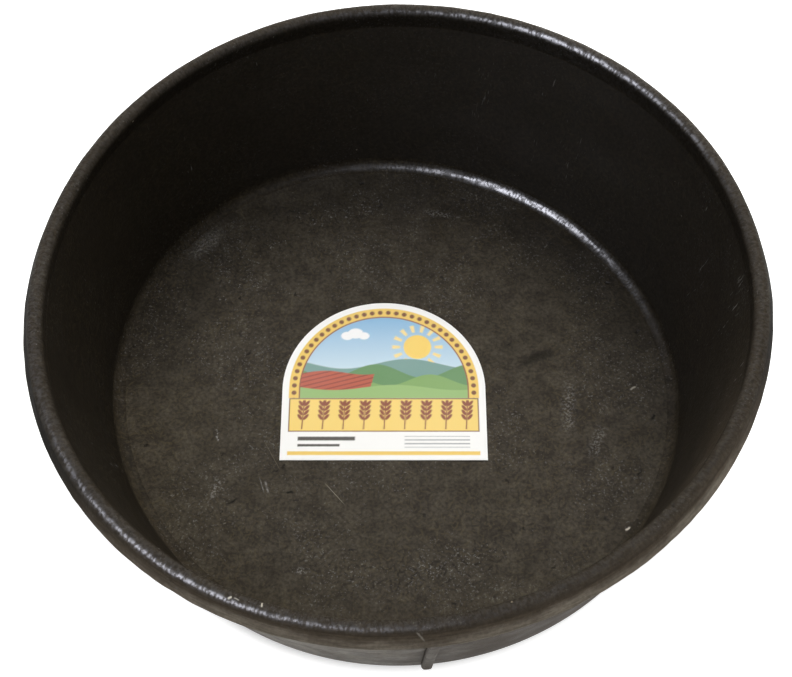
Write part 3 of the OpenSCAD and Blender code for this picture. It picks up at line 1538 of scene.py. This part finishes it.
    def lip_section(self) -> list[Array]:
        """Stretches of the lip's section: seat on the wall, underside, edge, slope, crest and inside.

        Returns:
            The points of each stretch, anticlockwise.
        """
        form = self.form
        centre = np.array([form.lip_in_r + form.crest_r, form.height - form.crest_r])
        edge_top = np.array([form.rim_r, form.lip_low + form.lip_edge_h])
        way = edge_top - centre
        turn = math.degrees(math.atan2(way[1], way[0]) + math.acos(form.crest_r / np.hypot(*way)))
        slope_top = arc(centre, form.crest_r, turn, turn, 1)[0]
        wall_top = form.lip_in_r + form.wall_t
        return [
            line((form.lip_in_r, form.lip_low), (wall_top, form.lip_low), 2),
            line((wall_top, form.lip_low), (form.rim_r, form.lip_low), 4),
            line((form.rim_r, form.lip_low), edge_top, 3),
            line(edge_top, slope_top, 9),
            arc(centre, form.crest_r, turn, 180.0, 16),
            line((form.lip_in_r, centre[1]), (form.lip_in_r, form.lip_low), 5),
        ]

    def lip(self) -> bpy.types.Object:
        """Rounded lip: a crest arc, a straight slope that touches it, and a ragged edge of flash below.

        Returns:
            The dressed piece.
        """
        section = self.lip_section()
        counts = [len(stretch) for stretch in section]
        profile = np.vstack(section)
        rows = len(profile)
        first = counts[0] + 1
        inner = counts[-1]
        hold = np.ones(rows)
        hold[:first] = 0.0
        hold[-inner:] = np.linspace(1.0, 0.2, inner)
        slow = self.lip_lumps.heights(rows, COLUMNS)
        knocks = self.lip_knocks.heights(rows, COLUMNS)
        ragged = np.zeros(rows)
        ragged[first + 2 : first + 5] = (0.5, 1.0, 0.5)
        flash = ragged[:, None] * self.lip_flash.heights(1, COLUMNS)
        lift = hold[:, None] * (slow + knocks) + flash
        piece = turned_ring(self.form, profile, lift).to_object("tub_lip")
        self.wear_lip(piece, counts)
        return hand_over(piece, "rim_lip", LIP_RUBBER.material())

    def wear_lip(self, piece: bpy.types.Object, counts: list[int]) -> None:
        """Gives the lip its dust and painted shade outside, its polish on the crest and its painted shade
        inside.

        Args:
            piece: The lip.
            counts: Number of points of each stretch of its section.
        """
        seat, under, edge, slope, crest, inner = counts
        rows = sum(counts)
        slope_first = seat + under + edge
        crest_first = slope_first + slope
        outer = np.zeros(rows)
        # Dust and painted light outside: the slope pales towards its lower edge as a painted reflection of
        # the floor, and the dust thins at the sides and back as painted shade.
        outer[seat:slope_first] = 1.0
        outer[slope_first:crest_first] = np.linspace(1.0, 0.12, slope) ** 0.5
        outer[crest_first : crest_first + 8] = np.linspace(0.22, 0.02, 8)
        dust = self.lip_dust_and_shade.at(directions())
        add_values(piece, "outer", np.outer(outer, dust).ravel())
        polish = np.zeros(rows)
        polish[crest_first:-inner] = np.clip(np.arange(crest) / 4.0, 0.0, 1.0)
        polish[-inner - 4 : -inner] = (0.75, 0.5, 0.3, 0.2)
        polish[-inner:] = 0.2
        shone = sum((glow.at(directions()) for glow in self.lip_glows), start=self.lip_dim)
        add_values(piece, "polish", np.outer(polish, shone).ravel())
        # Painted shade inside the lip, lighter at its right, and on its outside where the dust thins.
        painted_shade = np.zeros(rows)
        painted_shade[-inner:] = 0.6
        painted_shade[-inner - 7 : -inner] = np.linspace(0.1, 0.6, 7)
        side = np.zeros(rows)
        side[seat:crest_first] = 0.95
        worn = 1.0 - self.lip_inside_lighter.at(directions())
        add_values(piece, "painted_shade", (np.outer(painted_shade, worn) + np.outer(side, 1.0 - dust)).ravel())


@dataclass
class RibSet:
    """Upright stacking ribs on the outside of the wall.

    Attributes:
        form: The tub's form.
        count: Number of ribs.
        width: Width of a rib along the wall.
        proud: How far a rib stands out from the wall.
        turn: Direction of the first rib from +X, in degrees.
        sink: How far the back of a rib lies in the wall.
        end: Length of the rounded lower end.
        squareness: Power that makes the bow of a rib's section squarish, where 1 would be round.
        tip_share: Width left at the very end, as a share of the full width.
        lumps: Unevenness of a rib.
        dust: Dust and painted shade on a rib, as a share of the wall's.
        edge_shade: Strength of the painted shade along a rib's foot on the wall.
    """

    form: TubForm
    count: int = 4
    width: float = 0.0055
    proud: float = 0.003
    turn: float = -84.0
    sink: float = 0.0003
    end: float = 0.0025
    squareness: float = 0.6
    tip_share: float = 0.35
    lumps: Lumps = Lumps(0.00012, 60, (4.0, 2.0))
    dust: float = 0.9
    edge_shade: float = 0.8

    def build(self) -> list[bpy.types.Object]:
        """Builds and dresses all ribs.

        Returns:
            The pieces.
        """
        material = WALL_RUBBER.material()
        return [self.rib(number, material) for number in range(1, self.count + 1)]

    def rib(self, number: int, material: bpy.types.Material) -> bpy.types.Object:
        """A rounded bar along the wall: a squarish bow carried up the slope, rounded off at its lower end.

        Args:
            number: Number of the rib, from 1.
            material: Its material.

        Returns:
            The dressed piece.
        """
        form = self.form
        low, high = form.foot_r, form.lip_low
        start = np.linspace(0.02, 1.0, 8)
        z = np.concatenate([low + self.end * start, np.linspace(low + self.end, high, 60)[1:]])
        round_off = np.sqrt(1.0 - np.clip(1.0 - (z - low) / self.end, 0.0, 1.0) ** 2)
        bow = np.radians(np.linspace(0.0, 180.0, 17))
        across = np.sign(np.cos(bow)) * np.abs(np.cos(bow)) ** self.squareness * self.width / 2
        out = np.abs(np.sin(bow)) ** self.squareness * self.proud
        back = line((across[-1],), (across[0],), 6)[1:, 0]
        across = np.concatenate([across, back])
        out = np.concatenate([out, np.full(len(back), -self.sink)])
        rows, columns = len(z), len(across)
        wobble = self.lumps.heights(rows, columns, number)
        heights = np.broadcast_to(z[:, None], (rows, columns))
        base = form.outer_r(heights)
        side = across[None, :] * (self.tip_share + (1.0 - self.tip_share) * round_off[:, None])
        middle = math.radians(self.turn + (number - 1) * 360.0 / self.count)
        theta = middle + side / base
        radius = base + out[None, :] * round_off[:, None] + np.where(out > 0.0, 1.0, 0.0)[None, :] * wobble
        points = form.place(theta, radius, heights)
        quads = grid_quads(rows, columns, closed=False)
        caps = [np.arange(columns)[::-1], (rows - 1) * columns + np.arange(columns)]
        around = np.broadcast_to(np.cumsum(np.abs(out) + 0.0004), (rows, columns))
        flat = np.column_stack([around.ravel(), heights.ravel()])
        chart = flat[np.concatenate([quads.ravel(), *caps])]
        surface = Surface(points, quads, np.empty((0, 3), dtype=int), caps, chart)
        piece = surface.to_object(f"tub_rib_{number}")
        add_values(piece, "outer", self.dust * wall_dust_and_shade(theta).ravel())
        # Painted shade along the rib's foot on the wall.
        edge = np.clip(1.0 - np.abs(out) / (0.6 * self.proud), 0.0, 1.0)
        add_values(piece, "painted_shade", np.tile(self.edge_shade * edge, rows))
        return hand_over(piece, f"stacking_rib_{number}", material)


# Label


class Ink(Enum):
    """Colours of the label's print, in the steps of a screen."""

    WHITE = (252, 252, 250)
    LOW_SKY = (206, 228, 240)
    HIGH_SKY = (112, 176, 222)
    RAYS = (250, 226, 150)
    SUN = (252, 214, 96)
    CLOUD = (250, 251, 252)
    FAR_HILL = (116, 158, 150)
    WOODED_HILL = (96, 146, 88)
    NEAR_HILL = (128, 170, 92)
    PLOUGHED = (190, 84, 52)
    FURROWS = (150, 60, 38)
    MEADOW = (150, 188, 112)
    GOLD = (242, 204, 92)
    DOTS = (128, 72, 30)
    FINE_LINE = (150, 74, 36)
    BAND_EDGE = (122, 70, 32)
    BAND = (248, 214, 112)
    WHEAT = (142, 66, 30)
    BARS = (70, 66, 58)
    RULED = (150, 152, 156)


def over(under: Array, ink: Ink, cover: Array) -> Array:
    """Ink laid over a print: the share that is covered takes the ink's colour."""
    return under + (linear(ink.value) - under) * np.clip(cover, 0.0, 1.0)[:, None]


def inside(distance: Array, soft: float = 0.00022) -> Array:
    """Cover of a shape: 1 where its signed distance is below zero, with a soft step at its edge."""
    return np.clip(0.5 - distance / (2 * soft), 0.0, 1.0)


def oval(x: Array, y: Array, half_w: float, half_h: float) -> Array:
    """Rough signed distance to an oval: zero on its edge, and a millimetre less in its middle."""
    return np.hypot(x / half_w, y / half_h) * 0.001 - 0.001


@dataclass(frozen=True)
class Box:
    """An upright box of the print.

    Attributes:
        x: Place of its middle across the label.
        y: Place of its middle up the label.
        half_w: Half its width.
        half_h: Half its height.
    """

    x: float
    y: float
    half_w: float
    half_h: float

    def off(self, x: Array, y: Array) -> Array:
        """Signed distance: the larger of the way past its sides and the way past its ends."""
        return np.maximum(np.abs(x - self.x) - self.half_w, np.abs(y - self.y) - self.half_h)


@dataclass(frozen=True)
class Hill:
    """A hill of the picture, below a waving line.

    Attributes:
        level: Height of the line's middle.
        swing: How far the line swings up and down.
        rate: Turn of its sine for each metre across the label, in radians.
        phase: Turn of its sine in the middle of the label, in radians.
        ink: Its colour.
    """

    level: float
    swing: float
    rate: float
    phase: float
    ink: Ink

    def lay(self, picture: Array, x: Array, y: Array) -> Array:
        """Lays the hill over a picture: all that is below level plus swing times the sine."""
        wave = self.swing * np.sin(self.rate * x + self.phase)
        return over(picture, self.ink, inside(y - self.level - wave))


@dataclass
class FloorLabel:
    """Arched paper label on the floor, with its glue and a plain country print of its own.

    Attributes:
        width: Width of the label.
        height: Height from the straight edge to the top of the arch.
        centre: Middle of the label on the floor.
        glue_low: Height of the glue's underside.
        glue_t: Thickness of the glue.
        paper_t: Thickness of the paper.
        across: Columns of the printed grid.
        up: Rows of the printed grid.
        picture_low: Lower edge of the picture, where the band of wheat starts.
        wheat_low: Lower edge of the band of wheat.
        picture_in: Way of the picture's edge in from the outline.
        sky_low: Height where the sky starts to deepen.
        sky_rise: Height over which it deepens.
        sun: Middle of the sun.
        sun_r: Radius of the sun.
        rays: Number of its rays.
        ray_r: Radius of the middle of the rays.
        ray_half: Half the length of a ray.
        puffs: Middle and radius of each puff of the cloud.
        hills: Hills from the far one to the near one.
        plough_corner: Corner of the ploughed field, from which its edge falls away.
        furrow_gap: Way from furrow to furrow of the ploughed field.
        meadow: Meadow in front.
        border_in: Way of the border's middle line in from the outline.
        border_half: Half the width of the border.
        dots: Number of dots round the arch.
        dot_r: Radius of a dot.
        fine_in: Way of the fine line in from the outline.
        fine_half: Half the width of the fine line.
        ears: Number of wheat ears.
        ear_step: Way from ear to ear.
        ear_lean: How far an ear leans to the side for each unit of height.
        stalk: Stalk of an ear.
        grain_rows: Number of pairs of grains on an ear.
        grain_gap: Way from pair to pair.
        grain_out: Way of a grain's middle out from the stalk.
        grain_slant: Cosine and sine of a grain's slant.
        grain_half: Half the width and half the length of a grain.
        tip_y: Height of the grain at the tip of an ear.
        tip_half: Half its width and half its length.
        side_gap: White margin beside the band of wheat and the foot.
        bars: Dark bars of the lower panel.
        ruled: Block of fine grey lines.
        ruled_gap: Way from line to line.
        ruled_half: Half the width of a line.
        foot_y: Height of the golden foot's middle.
        foot_half: Half the height of the golden foot.
    """

    width: float = 0.108
    height: float = 0.096
    centre: tuple[float, float] = (-0.005, 0.004)
    glue_low: float = 0.008
    glue_t: float = 0.0001
    paper_t: float = 0.0002
    across: int = 300
    up: int = 270
    picture_low: float = -0.0115
    wheat_low: float = -0.0315
    picture_in: float = 0.009
    sky_low: float = 0.004
    sky_rise: float = 0.04
    sun: tuple[float, float] = (0.018, 0.020)
    sun_r: float = 0.0075
    rays: int = 14
    ray_r: float = 0.0115
    ray_half: float = 0.0022
    puffs: tuple[Point, ...] = ((-0.020, 0.027, 0.0034), (-0.0155, 0.0285, 0.0042), (-0.011, 0.027, 0.003))
    hills: tuple[Hill, ...] = (
        Hill(0.0095, 0.0030, 92.0, 0.4, Ink.FAR_HILL),
        Hill(0.0050, 0.0042, 124.0, 2.1, Ink.WOODED_HILL),
        Hill(-0.0005, 0.0034, 140.0, 4.4, Ink.NEAR_HILL),
    )
    plough_corner: tuple[float, float] = (-0.004, 0.004)
    furrow_gap: float = 0.0026
    meadow: Hill = Hill(-0.0050, 0.0016, 95.0, 1.0, Ink.MEADOW)
    border_in: float = 0.0062
    border_half: float = 0.0027
    dots: int = 34
    dot_r: float = 0.0013
    fine_in: float = 0.0091
    fine_half: float = 0.00035
    ears: int = 9
    ear_step: float = 0.0108
    ear_lean: float = 0.06
    stalk: Box = Box(0.0, -0.0228, 0.00032, 0.0072)
    grain_rows: int = 4
    grain_gap: float = 0.0027
    grain_out: float = 0.00155
    grain_slant: tuple[float, float] = (0.80, 0.60)
    grain_half: tuple[float, float] = (0.00085, 0.0021)
    tip_y: float = -0.0142
    tip_half: tuple[float, float] = (0.0009, 0.0021)
    side_gap: float = 0.0038
    bars: tuple[Box, ...] = (Box(-0.030, -0.0355, 0.0150, 0.0011), Box(-0.034, -0.0394, 0.0110, 0.0007))
    ruled: Box = Box(0.028, -0.0374, 0.017, 0.0033)
    ruled_gap: float = 0.0022
    ruled_half: float = 0.00032
    foot_y: float = -0.0440
    foot_half: float = 0.0011

    @property
    def arch_y(self) -> float:
        """Height of the arch's middle above the label's middle."""
        return self.height / 2 - self.width / 2

    def build(self) -> list[bpy.types.Object]:
        """Builds and dresses the glue and the printed paper.

        Returns:
            The pieces.
        """
        paper_low = self.glue_low + self.glue_t
        glue, _, _ = self.sheet(self.glue_low, paper_low, 60, 20)
        face, x, y = self.sheet(paper_low, paper_low + self.paper_t, self.across, self.up)
        film = glue.to_object("label_glue_film")
        glue_piece = hand_over(film, "label_adhesive", self.glue_material())
        paper = face.to_object("label_paper_sheet")
        add_values(paper, "print", self.print_colours(x, y))
        paper_piece = hand_over(paper, "label_face", self.paper_material())
        return [glue_piece, paper_piece]

    def sheet(self, low: float, high: float, across: int, up: int) -> tuple[Surface, Array, Array]:
        """A sheet cut to the arched outline: columns from the straight edge up to the half-round arch.

        Args:
            low: Height of its underside.
            high: Height of its face.
            across: Columns of the face.
            up: Rows of the face.

        Returns:
            The surface, and the place of each of its points on the label.
        """
        half = self.width / 2
        column = np.sin(np.linspace(-math.pi / 2, math.pi / 2, across)) * half
        arch = self.arch_y + np.sqrt(np.maximum(half**2 - column**2, 0.0))
        bottom = -self.height / 2
        share = np.linspace(0.0, 1.0, up)[:, None]
        x = np.broadcast_to(column, (up, across)).ravel()
        y = (bottom + (arch - bottom) * share).ravel()
        number = np.arange(up * across).reshape(up, across)
        rim = np.concatenate([number[0], number[1:, -1], number[-1, -2::-1], number[-2:0:-1, 0]])
        face = np.column_stack([x + self.centre[0], y + self.centre[1], np.full(x.size, high)])
        under = face[rim] * (1.0, 1.0, 0.0) + (0.0, 0.0, low)
        quads = np.stack([number[:-1, :-1], number[:-1, 1:], number[1:, 1:], number[1:, :-1]], axis=-1)
        below = x.size + np.arange(rim.size)
        skirt = np.column_stack([below, np.roll(below, -1), np.roll(rim, -1), rim])
        points = np.vstack([face, under])
        quads = np.vstack([quads.reshape(-1, 4), skirt])
        outlines = [below[::-1]]
        chart = points[np.concatenate([quads.ravel(), *outlines]), :2]
        x_all = np.concatenate([x, x[rim]])
        y_all = np.concatenate([y, y[rim]])
        return Surface(points, quads, np.empty((0, 3), dtype=int), outlines, chart), x_all, y_all

    def print_colours(self, x: Array, y: Array) -> Array:
        """Print of the label: dotted arch border, sun over hills, a band of wheat and a plain lower panel.

        Args:
            x: Place across the label.
            y: Place up the label.

        Returns:
            One colour per place.
        """
        half = self.width / 2
        depth = np.where(y > self.arch_y, np.hypot(x, y - self.arch_y) - half, np.abs(x) - half)
        depth = np.maximum(depth, -(y + self.height / 2))
        colours = np.broadcast_to(linear(Ink.WHITE.value), (x.size, 3)).copy()
        colours = self.print_picture(colours, x, y, depth)
        colours = self.print_border(colours, x, y, depth)
        colours = self.print_wheat(colours, x, y)
        return self.print_panel(colours, x, y)

    def print_picture(self, colours: Array, x: Array, y: Array, depth: Array) -> Array:
        """Sky that pales towards the ground, a sun, a cloud, and hills with a ploughed field and a meadow.

        Args:
            colours: Print so far.
            x: Place across the label.
            y: Place up the label.
            depth: Signed distance to the label's outline.

        Returns:
            The print with the picture.
        """
        field = inside(depth + self.picture_in) * inside(self.picture_low - y)
        rise = np.clip((y - self.sky_low) / self.sky_rise, 0.0, 1.0)[:, None]
        sky = linear(Ink.LOW_SKY.value) * (1.0 - rise) + linear(Ink.HIGH_SKY.value) * rise
        picture = self.print_sun(sky, x, y)
        cloud = np.min([np.hypot(x - a, (y - b) * 1.3) - r for a, b, r in self.puffs], axis=0)
        picture = over(picture, Ink.CLOUD, inside(cloud))
        for hill in self.hills:
            picture = hill.lay(picture, x, y)
        picture = self.print_plough(picture, x, y)
        picture = self.meadow.lay(picture, x, y)
        return colours + (picture - colours) * field[:, None]

    def print_sun(self, picture: Array, x: Array, y: Array) -> Array:
        """Round sun inside a ring of short rays, which lie where the cosine of the turned angle is high.

        Args:
            picture: Picture so far.
            x: Place across the label.
            y: Place up the label.

        Returns:
            The picture with the sun.
        """
        off_x = x - self.sun[0]
        off_y = y - self.sun[1]
        far = np.hypot(off_x, off_y)
        spoke = np.cos(self.rays * np.arctan2(off_y, off_x))
        rays = inside(np.abs(far - self.ray_r) - self.ray_half) * inside(0.35 - spoke, 0.3)
        picture = over(picture, Ink.RAYS, rays)
        return over(picture, Ink.SUN, inside(far - self.sun_r))

    def print_plough(self, picture: Array, x: Array, y: Array) -> Array:
        """Ploughed field on the left: level up to its corner, falling away past it, with slanting furrows.

        Args:
            picture: Picture so far.
            x: Place across the label.
            y: Place up the label.

        Returns:
            The picture with the field.
        """
        corner_x, corner_y = self.plough_corner
        past = np.minimum(0.0, -(x - corner_x))
        top = y - corner_y - 0.55 * past - 0.0012 * np.sin(150 * x)
        plough = inside(top) * inside(x + 0.006 - 0.25 * y)
        picture = over(picture, Ink.PLOUGHED, plough)
        furrow = np.cos((y - 0.28 * x) * 2 * math.pi / self.furrow_gap)
        return over(picture, Ink.FURROWS, plough * inside(0.55 - furrow, 0.25))

    def print_border(self, colours: Array, x: Array, y: Array, depth: Array) -> Array:
        """Golden band that follows the arch, with even round dots and a fine brown line on its inner side.

        Args:
            colours: Print so far.
            x: Place across the label.
            y: Place up the label.
            depth: Signed distance to the label's outline.

        Returns:
            The print with the border.
        """
        middle = self.width / 2 - self.border_in
        upper = inside(self.picture_low - y)
        band = inside(np.abs(depth + self.border_in) - self.border_half) * upper
        colours = over(colours, Ink.GOLD, band)
        angle = np.arctan2(y - self.arch_y, x)
        beside = np.where(x > 0, y - self.arch_y, math.pi * middle - y + self.arch_y)
        along = np.where(y > self.arch_y, angle * middle, beside)
        step = math.pi * middle / self.dots
        away = np.abs(np.mod(along / step, 1.0) - 0.5) * step
        dots = inside(np.hypot(away, depth + self.border_in) - self.dot_r) * upper
        colours = over(colours, Ink.DOTS, dots)
        fine = inside(np.abs(depth + self.fine_in) - self.fine_half) * upper
        return over(colours, Ink.FINE_LINE, fine)

    def print_wheat(self, colours: Array, x: Array, y: Array) -> Array:
        """Golden band across the label with a row of wheat ears, each a stalk with slanting oval grains.

        Args:
            colours: Print so far.
            x: Place across the label.
            y: Place up the label.

        Returns:
            The print with the band.
        """
        low, high = self.wheat_low, self.picture_low
        reach = self.width / 2 - self.side_gap
        band = Box(0.0, (low + high) / 2, reach, (high - low) / 2).off(x, y)
        colours = over(colours, Ink.BAND_EDGE, inside(band))
        colours = over(colours, Ink.BAND, inside(band + 0.0006))
        local = (np.mod(x / self.ear_step + 0.5, 1.0) - 0.5) * self.ear_step
        lean = local - self.ear_lean * (y - low)
        keep = inside(band + 0.0012) * inside(np.abs(x) - self.ears / 2 * self.ear_step)
        cosine, sine = self.grain_slant
        shape = np.minimum(self.stalk.off(lean, y), oval(lean, y - self.tip_y, *self.tip_half))
        for level in range(self.grain_rows):
            grain_y = y - (self.stalk.y + self.grain_gap * level)
            for side in (-1.0, 1.0):
                grain_x = side * lean - self.grain_out
                turned_x = grain_x * cosine - grain_y * sine
                turned_y = grain_x * sine + grain_y * cosine
                shape = np.minimum(shape, oval(turned_x, turned_y, *self.grain_half))
        return over(colours, Ink.WHEAT, inside(shape) * keep)

    def print_panel(self, colours: Array, x: Array, y: Array) -> Array:
        """Plain lower panel: dark bars on the left, fine grey lines on the right and a golden foot.

        Args:
            colours: Print so far.
            x: Place across the label.
            y: Place up the label.

        Returns:
            The finished print.
        """
        for bar in self.bars:
            colours = over(colours, Ink.BARS, inside(bar.off(x, y)))
        rows = np.abs(np.mod(y / self.ruled_gap, 1.0) - 0.5) * self.ruled_gap
        ruled = np.maximum(rows - self.ruled_half, self.ruled.off(x, y))
        colours = over(colours, Ink.RULED, inside(ruled))
        foot = Box(0.0, self.foot_y, self.width / 2 - self.side_gap, self.foot_half)
        return over(colours, Ink.GOLD, inside(foot.off(x, y)))

    def paper_material(self) -> bpy.types.Material:
        """Printed paper with a light gloss, a fine fibre bump and slightly uneven whiteness.

        Returns:
            The material.
        """
        material, board, shader = new_material("label_print_paper")
        place = board.node("ShaderNodeTexCoord").outputs["Object"]
        ink = board.node("ShaderNodeAttribute", attribute_name="print").outputs["Color"]
        fibre = board.noise(place, 0.0006, 3.0, 0.6)
        cloud = board.noise(place, 0.02, 2.0, 0.5)
        tint = board.math("MULTIPLY", board.math("ADD", fibre, cloud), 0.05)
        board.feed(shader.inputs["Base Color"], board.blend(tint, ink, solid((214, 211, 206))))
        board.feed(shader.inputs["Roughness"], board.fade(cloud, 0.3, 0.7, 0.36, 0.46))
        bump = board.node("ShaderNodeBump", {"Height": fibre, "Strength": 1.0, "Distance": 0.00001})
        board.feed(shader.inputs["Normal"], bump.outputs[0])
        return material

    def glue_material(self) -> bpy.types.Material:
        """Amber glue with uneven thickness and a wet gloss.

        Returns:
            The material.
        """
        material, board, shader = new_material("label_glue")
        place = board.node("ShaderNodeTexCoord").outputs["Object"]
        flow = board.noise(place, 0.004, 3.0, 0.5)
        amber = board.blend(flow, solid((222, 214, 190)), solid((198, 186, 152)))
        board.feed(shader.inputs["Base Color"], amber)
        board.feed(shader.inputs["Roughness"], board.fade(flow, 0.3, 0.7, 0.25, 0.4))
        return material


# Studio


@dataclass(frozen=True)
class Lamp:
    """A round soft light.

    Attributes:
        name: Its name.
        place: Its place.
        size: Its diameter.
        power: Its power.
        tint: Colour of its light.
        highlights: Whether it makes only highlights. If not, it makes none.
    """

    name: str
    place: Point
    size: float
    power: float
    tint: Colour
    highlights: bool = False

    def build(self, target: Point) -> None:
        """Makes the light and turns it to a target.

        Args:
            target: Point that it shines at.
        """
        data = bpy.data.lights.new(self.name, "AREA")
        data.shape = "DISK"
        data.size = self.size
        data.energy = self.power
        data.color = self.tint
        lamp = bpy.data.objects.new(self.name, data)
        turn = (Vector(target) - Vector(self.place)).to_track_quat("-Z", "Y").to_matrix().to_4x4()
        lamp.matrix_world = Matrix.Translation(Vector(self.place)) @ turn
        bpy.context.scene.collection.objects.link(lamp)
        lamp.visible_diffuse = not self.highlights
        lamp.visible_glossy = self.highlights


@dataclass
class Studio:
    """Camera, floor and light.

    Attributes:
        target: Point that the camera's distance and height are measured from.
        distance: Distance of the camera.
        elevation: Height of the camera above the horizon, in degrees.
        lens: Focal length for a picture 36 mm wide.
        roll: Turn of the camera round its own axis, in degrees.
        offset: How far to the right and up of the target the camera looks.
        lamps: Key light at the front left, fill behind the tub on the right, and a wide light overhead.
        floor_reach: Half width of the floor.
        floor_drop: How far the floor lies below the tub.
        contact_shadow_r: Radii under the tub's foot between which the floor's glow grows to full; the
            dimmer glow inside them is a painted contact shadow.
    """

    target: Point = (0.0, 0.0, 0.057)
    distance: float = 0.7577
    elevation: float = 59.18
    lens: float = 68.18
    roll: float = 0.17
    offset: tuple[float, float] = (0.00134, 0.00024)
    lamps: tuple[Lamp, ...] = (
        Lamp("key_light", (-0.78, -0.62, 1.24), 1.10, 120.0, (0.86, 0.88, 1.0), highlights=True),
        Lamp("fill_light", (0.25, 1.16, 1.2), 1.0, 25.5, (1.0, 0.985, 0.96)),
        Lamp("top_light", (0.0, 0.0, 1.3), 2.2, 9.4, (1.0, 0.99, 0.97)),
    )
    floor_reach: float = 14.0
    floor_drop: float = 0.0002
    contact_shadow_r: tuple[float, float] = (0.148, 0.156)

    def build(self) -> None:
        """Makes the camera, the floor, the lights and the world."""
        self.camera()
        self.floor()
        for lamp in self.lamps:
            lamp.build(self.target)
        self.world()
        bpy.context.scene.view_settings.view_transform = "Standard"

    def camera(self) -> None:
        """Puts the camera at its distance and elevation in front of the tub and turns it to its aim."""
        lift = math.radians(self.elevation)
        target = Vector(self.target)
        eye = target + self.distance * Vector((0.0, -math.cos(lift), math.sin(lift)))
        up = Vector((0.0, math.sin(lift), math.cos(lift)))
        aim = target + Vector((1.0, 0.0, 0.0)) * self.offset[0] + up * self.offset[1]
        data = bpy.data.cameras.new("camera")
        data.lens = self.lens
        data.sensor_width = 36.0
        data.clip_start = 0.01
        camera = bpy.data.objects.new("camera", data)
        turn = (aim - eye).to_track_quat("-Z", "Y").to_matrix().to_4x4()
        roll = Matrix.Rotation(math.radians(self.roll), 4, "Z")
        camera.matrix_world = Matrix.Translation(eye) @ turn @ roll
        bpy.context.scene.collection.objects.link(camera)
        bpy.context.scene.camera = camera

    def floor(self) -> None:
        """Wide pale floor that shows white to the camera and keeps a soft shadow."""
        square = np.array([[-1, -1, 0], [1, -1, 0], [1, 1, 0], [-1, 1, 0]])
        corners = square * self.floor_reach - (0.0, 0.0, self.floor_drop)
        mesh = bpy.data.meshes.new("studio_floor")
        mesh.from_pydata(corners.tolist(), [], [(0, 1, 2, 3)])
        floor = bpy.data.objects.new("studio_floor", mesh)
        bpy.context.scene.collection.objects.link(floor)
        material, board, shader = new_material("studio_floor_paint")
        place = board.node("ShaderNodeTexCoord").outputs["Object"]
        away = board.node("ShaderNodeVectorMath", {0: place}, operation="LENGTH").outputs["Value"]
        # Painted contact shadow: the glow is dimmer under the tub's foot, so that the foot reflects a dark
        # floor.
        glow = board.fade(away, *self.contact_shadow_r, 0.4, 1.0)
        glow = board.math("MULTIPLY", glow, board.fade(away, 0.5, 2.0, 0.97, 1.0))
        cloud = board.noise(place, 0.4, 2.0, 0.5)
        paint = board.blend(cloud, solid((200, 200, 199)), solid((196, 196, 195)))
        board.feed(shader.inputs["Base Color"], paint)
        board.feed(shader.inputs["Roughness"], board.fade(cloud, 0.2, 0.8, 0.85, 0.95))
        shader.inputs["Specular IOR Level"].default_value = 0.0
        light = board.node("ShaderNodeEmission", {"Color": (1.0, 1.0, 1.0, 1.0)})
        board.feed(light.inputs["Strength"], board.math("MULTIPLY", self.seen(board), glow))
        both = board.node("ShaderNodeAddShader", {0: shader.outputs[0], 1: light.outputs[0]})
        board.feed(material.node_tree.nodes["Material Output"].inputs["Surface"], both.outputs[0])
        mesh.materials.append(material)

    def seen(self, board: Board) -> Socket:
        """Mask of the rays that show a surface: those from the camera, reflected ones and refracted ones.

        Args:
            board: Board of the material or the world.

        Returns:
            The mask.
        """
        path = board.node("ShaderNodeLightPath")
        direct = board.math("MAXIMUM", path.outputs["Is Camera Ray"], path.outputs["Is Glossy Ray"])
        return board.math("MAXIMUM", direct, path.outputs["Is Transmission Ray"])

    def world(self) -> None:
        """Soft surrounding light: pale overhead, dim lower down, and white past the floor's end."""
        world = bpy.data.worlds.new("studio")
        world.use_nodes = True
        bpy.context.scene.world = world
        board = Board(world.node_tree)
        way = board.node("ShaderNodeTexCoord").outputs["Generated"]
        height = board.node("ShaderNodeSeparateXYZ", {0: way}).outputs[2]
        share = board.fade(height, 0.25, 0.95)
        colour = board.blend(share, (0.07, 0.07, 0.07, 1.0), (0.16, 0.16, 0.16, 1.0))
        white = board.math("MULTIPLY", self.seen(board), board.fade(height, 0.25, 0.40, 1.0, 0.0))
        colour = board.blend(white, colour, (1.0, 1.0, 1.0, 1.0))
        board.feed(world.node_tree.nodes["Background"].inputs["Color"], colour)


def main() -> None:
    """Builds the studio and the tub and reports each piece."""
    logging.basicConfig(level=logging.INFO, format="%(name)s: %(message)s")
    form = TubForm()
    Studio().build()
    pieces = Moulding(form).build() + RibSet(form).build() + FloorLabel().build()
    LOG.info("%d pieces made", len(pieces))


if __name__ == "__main__":
    main()
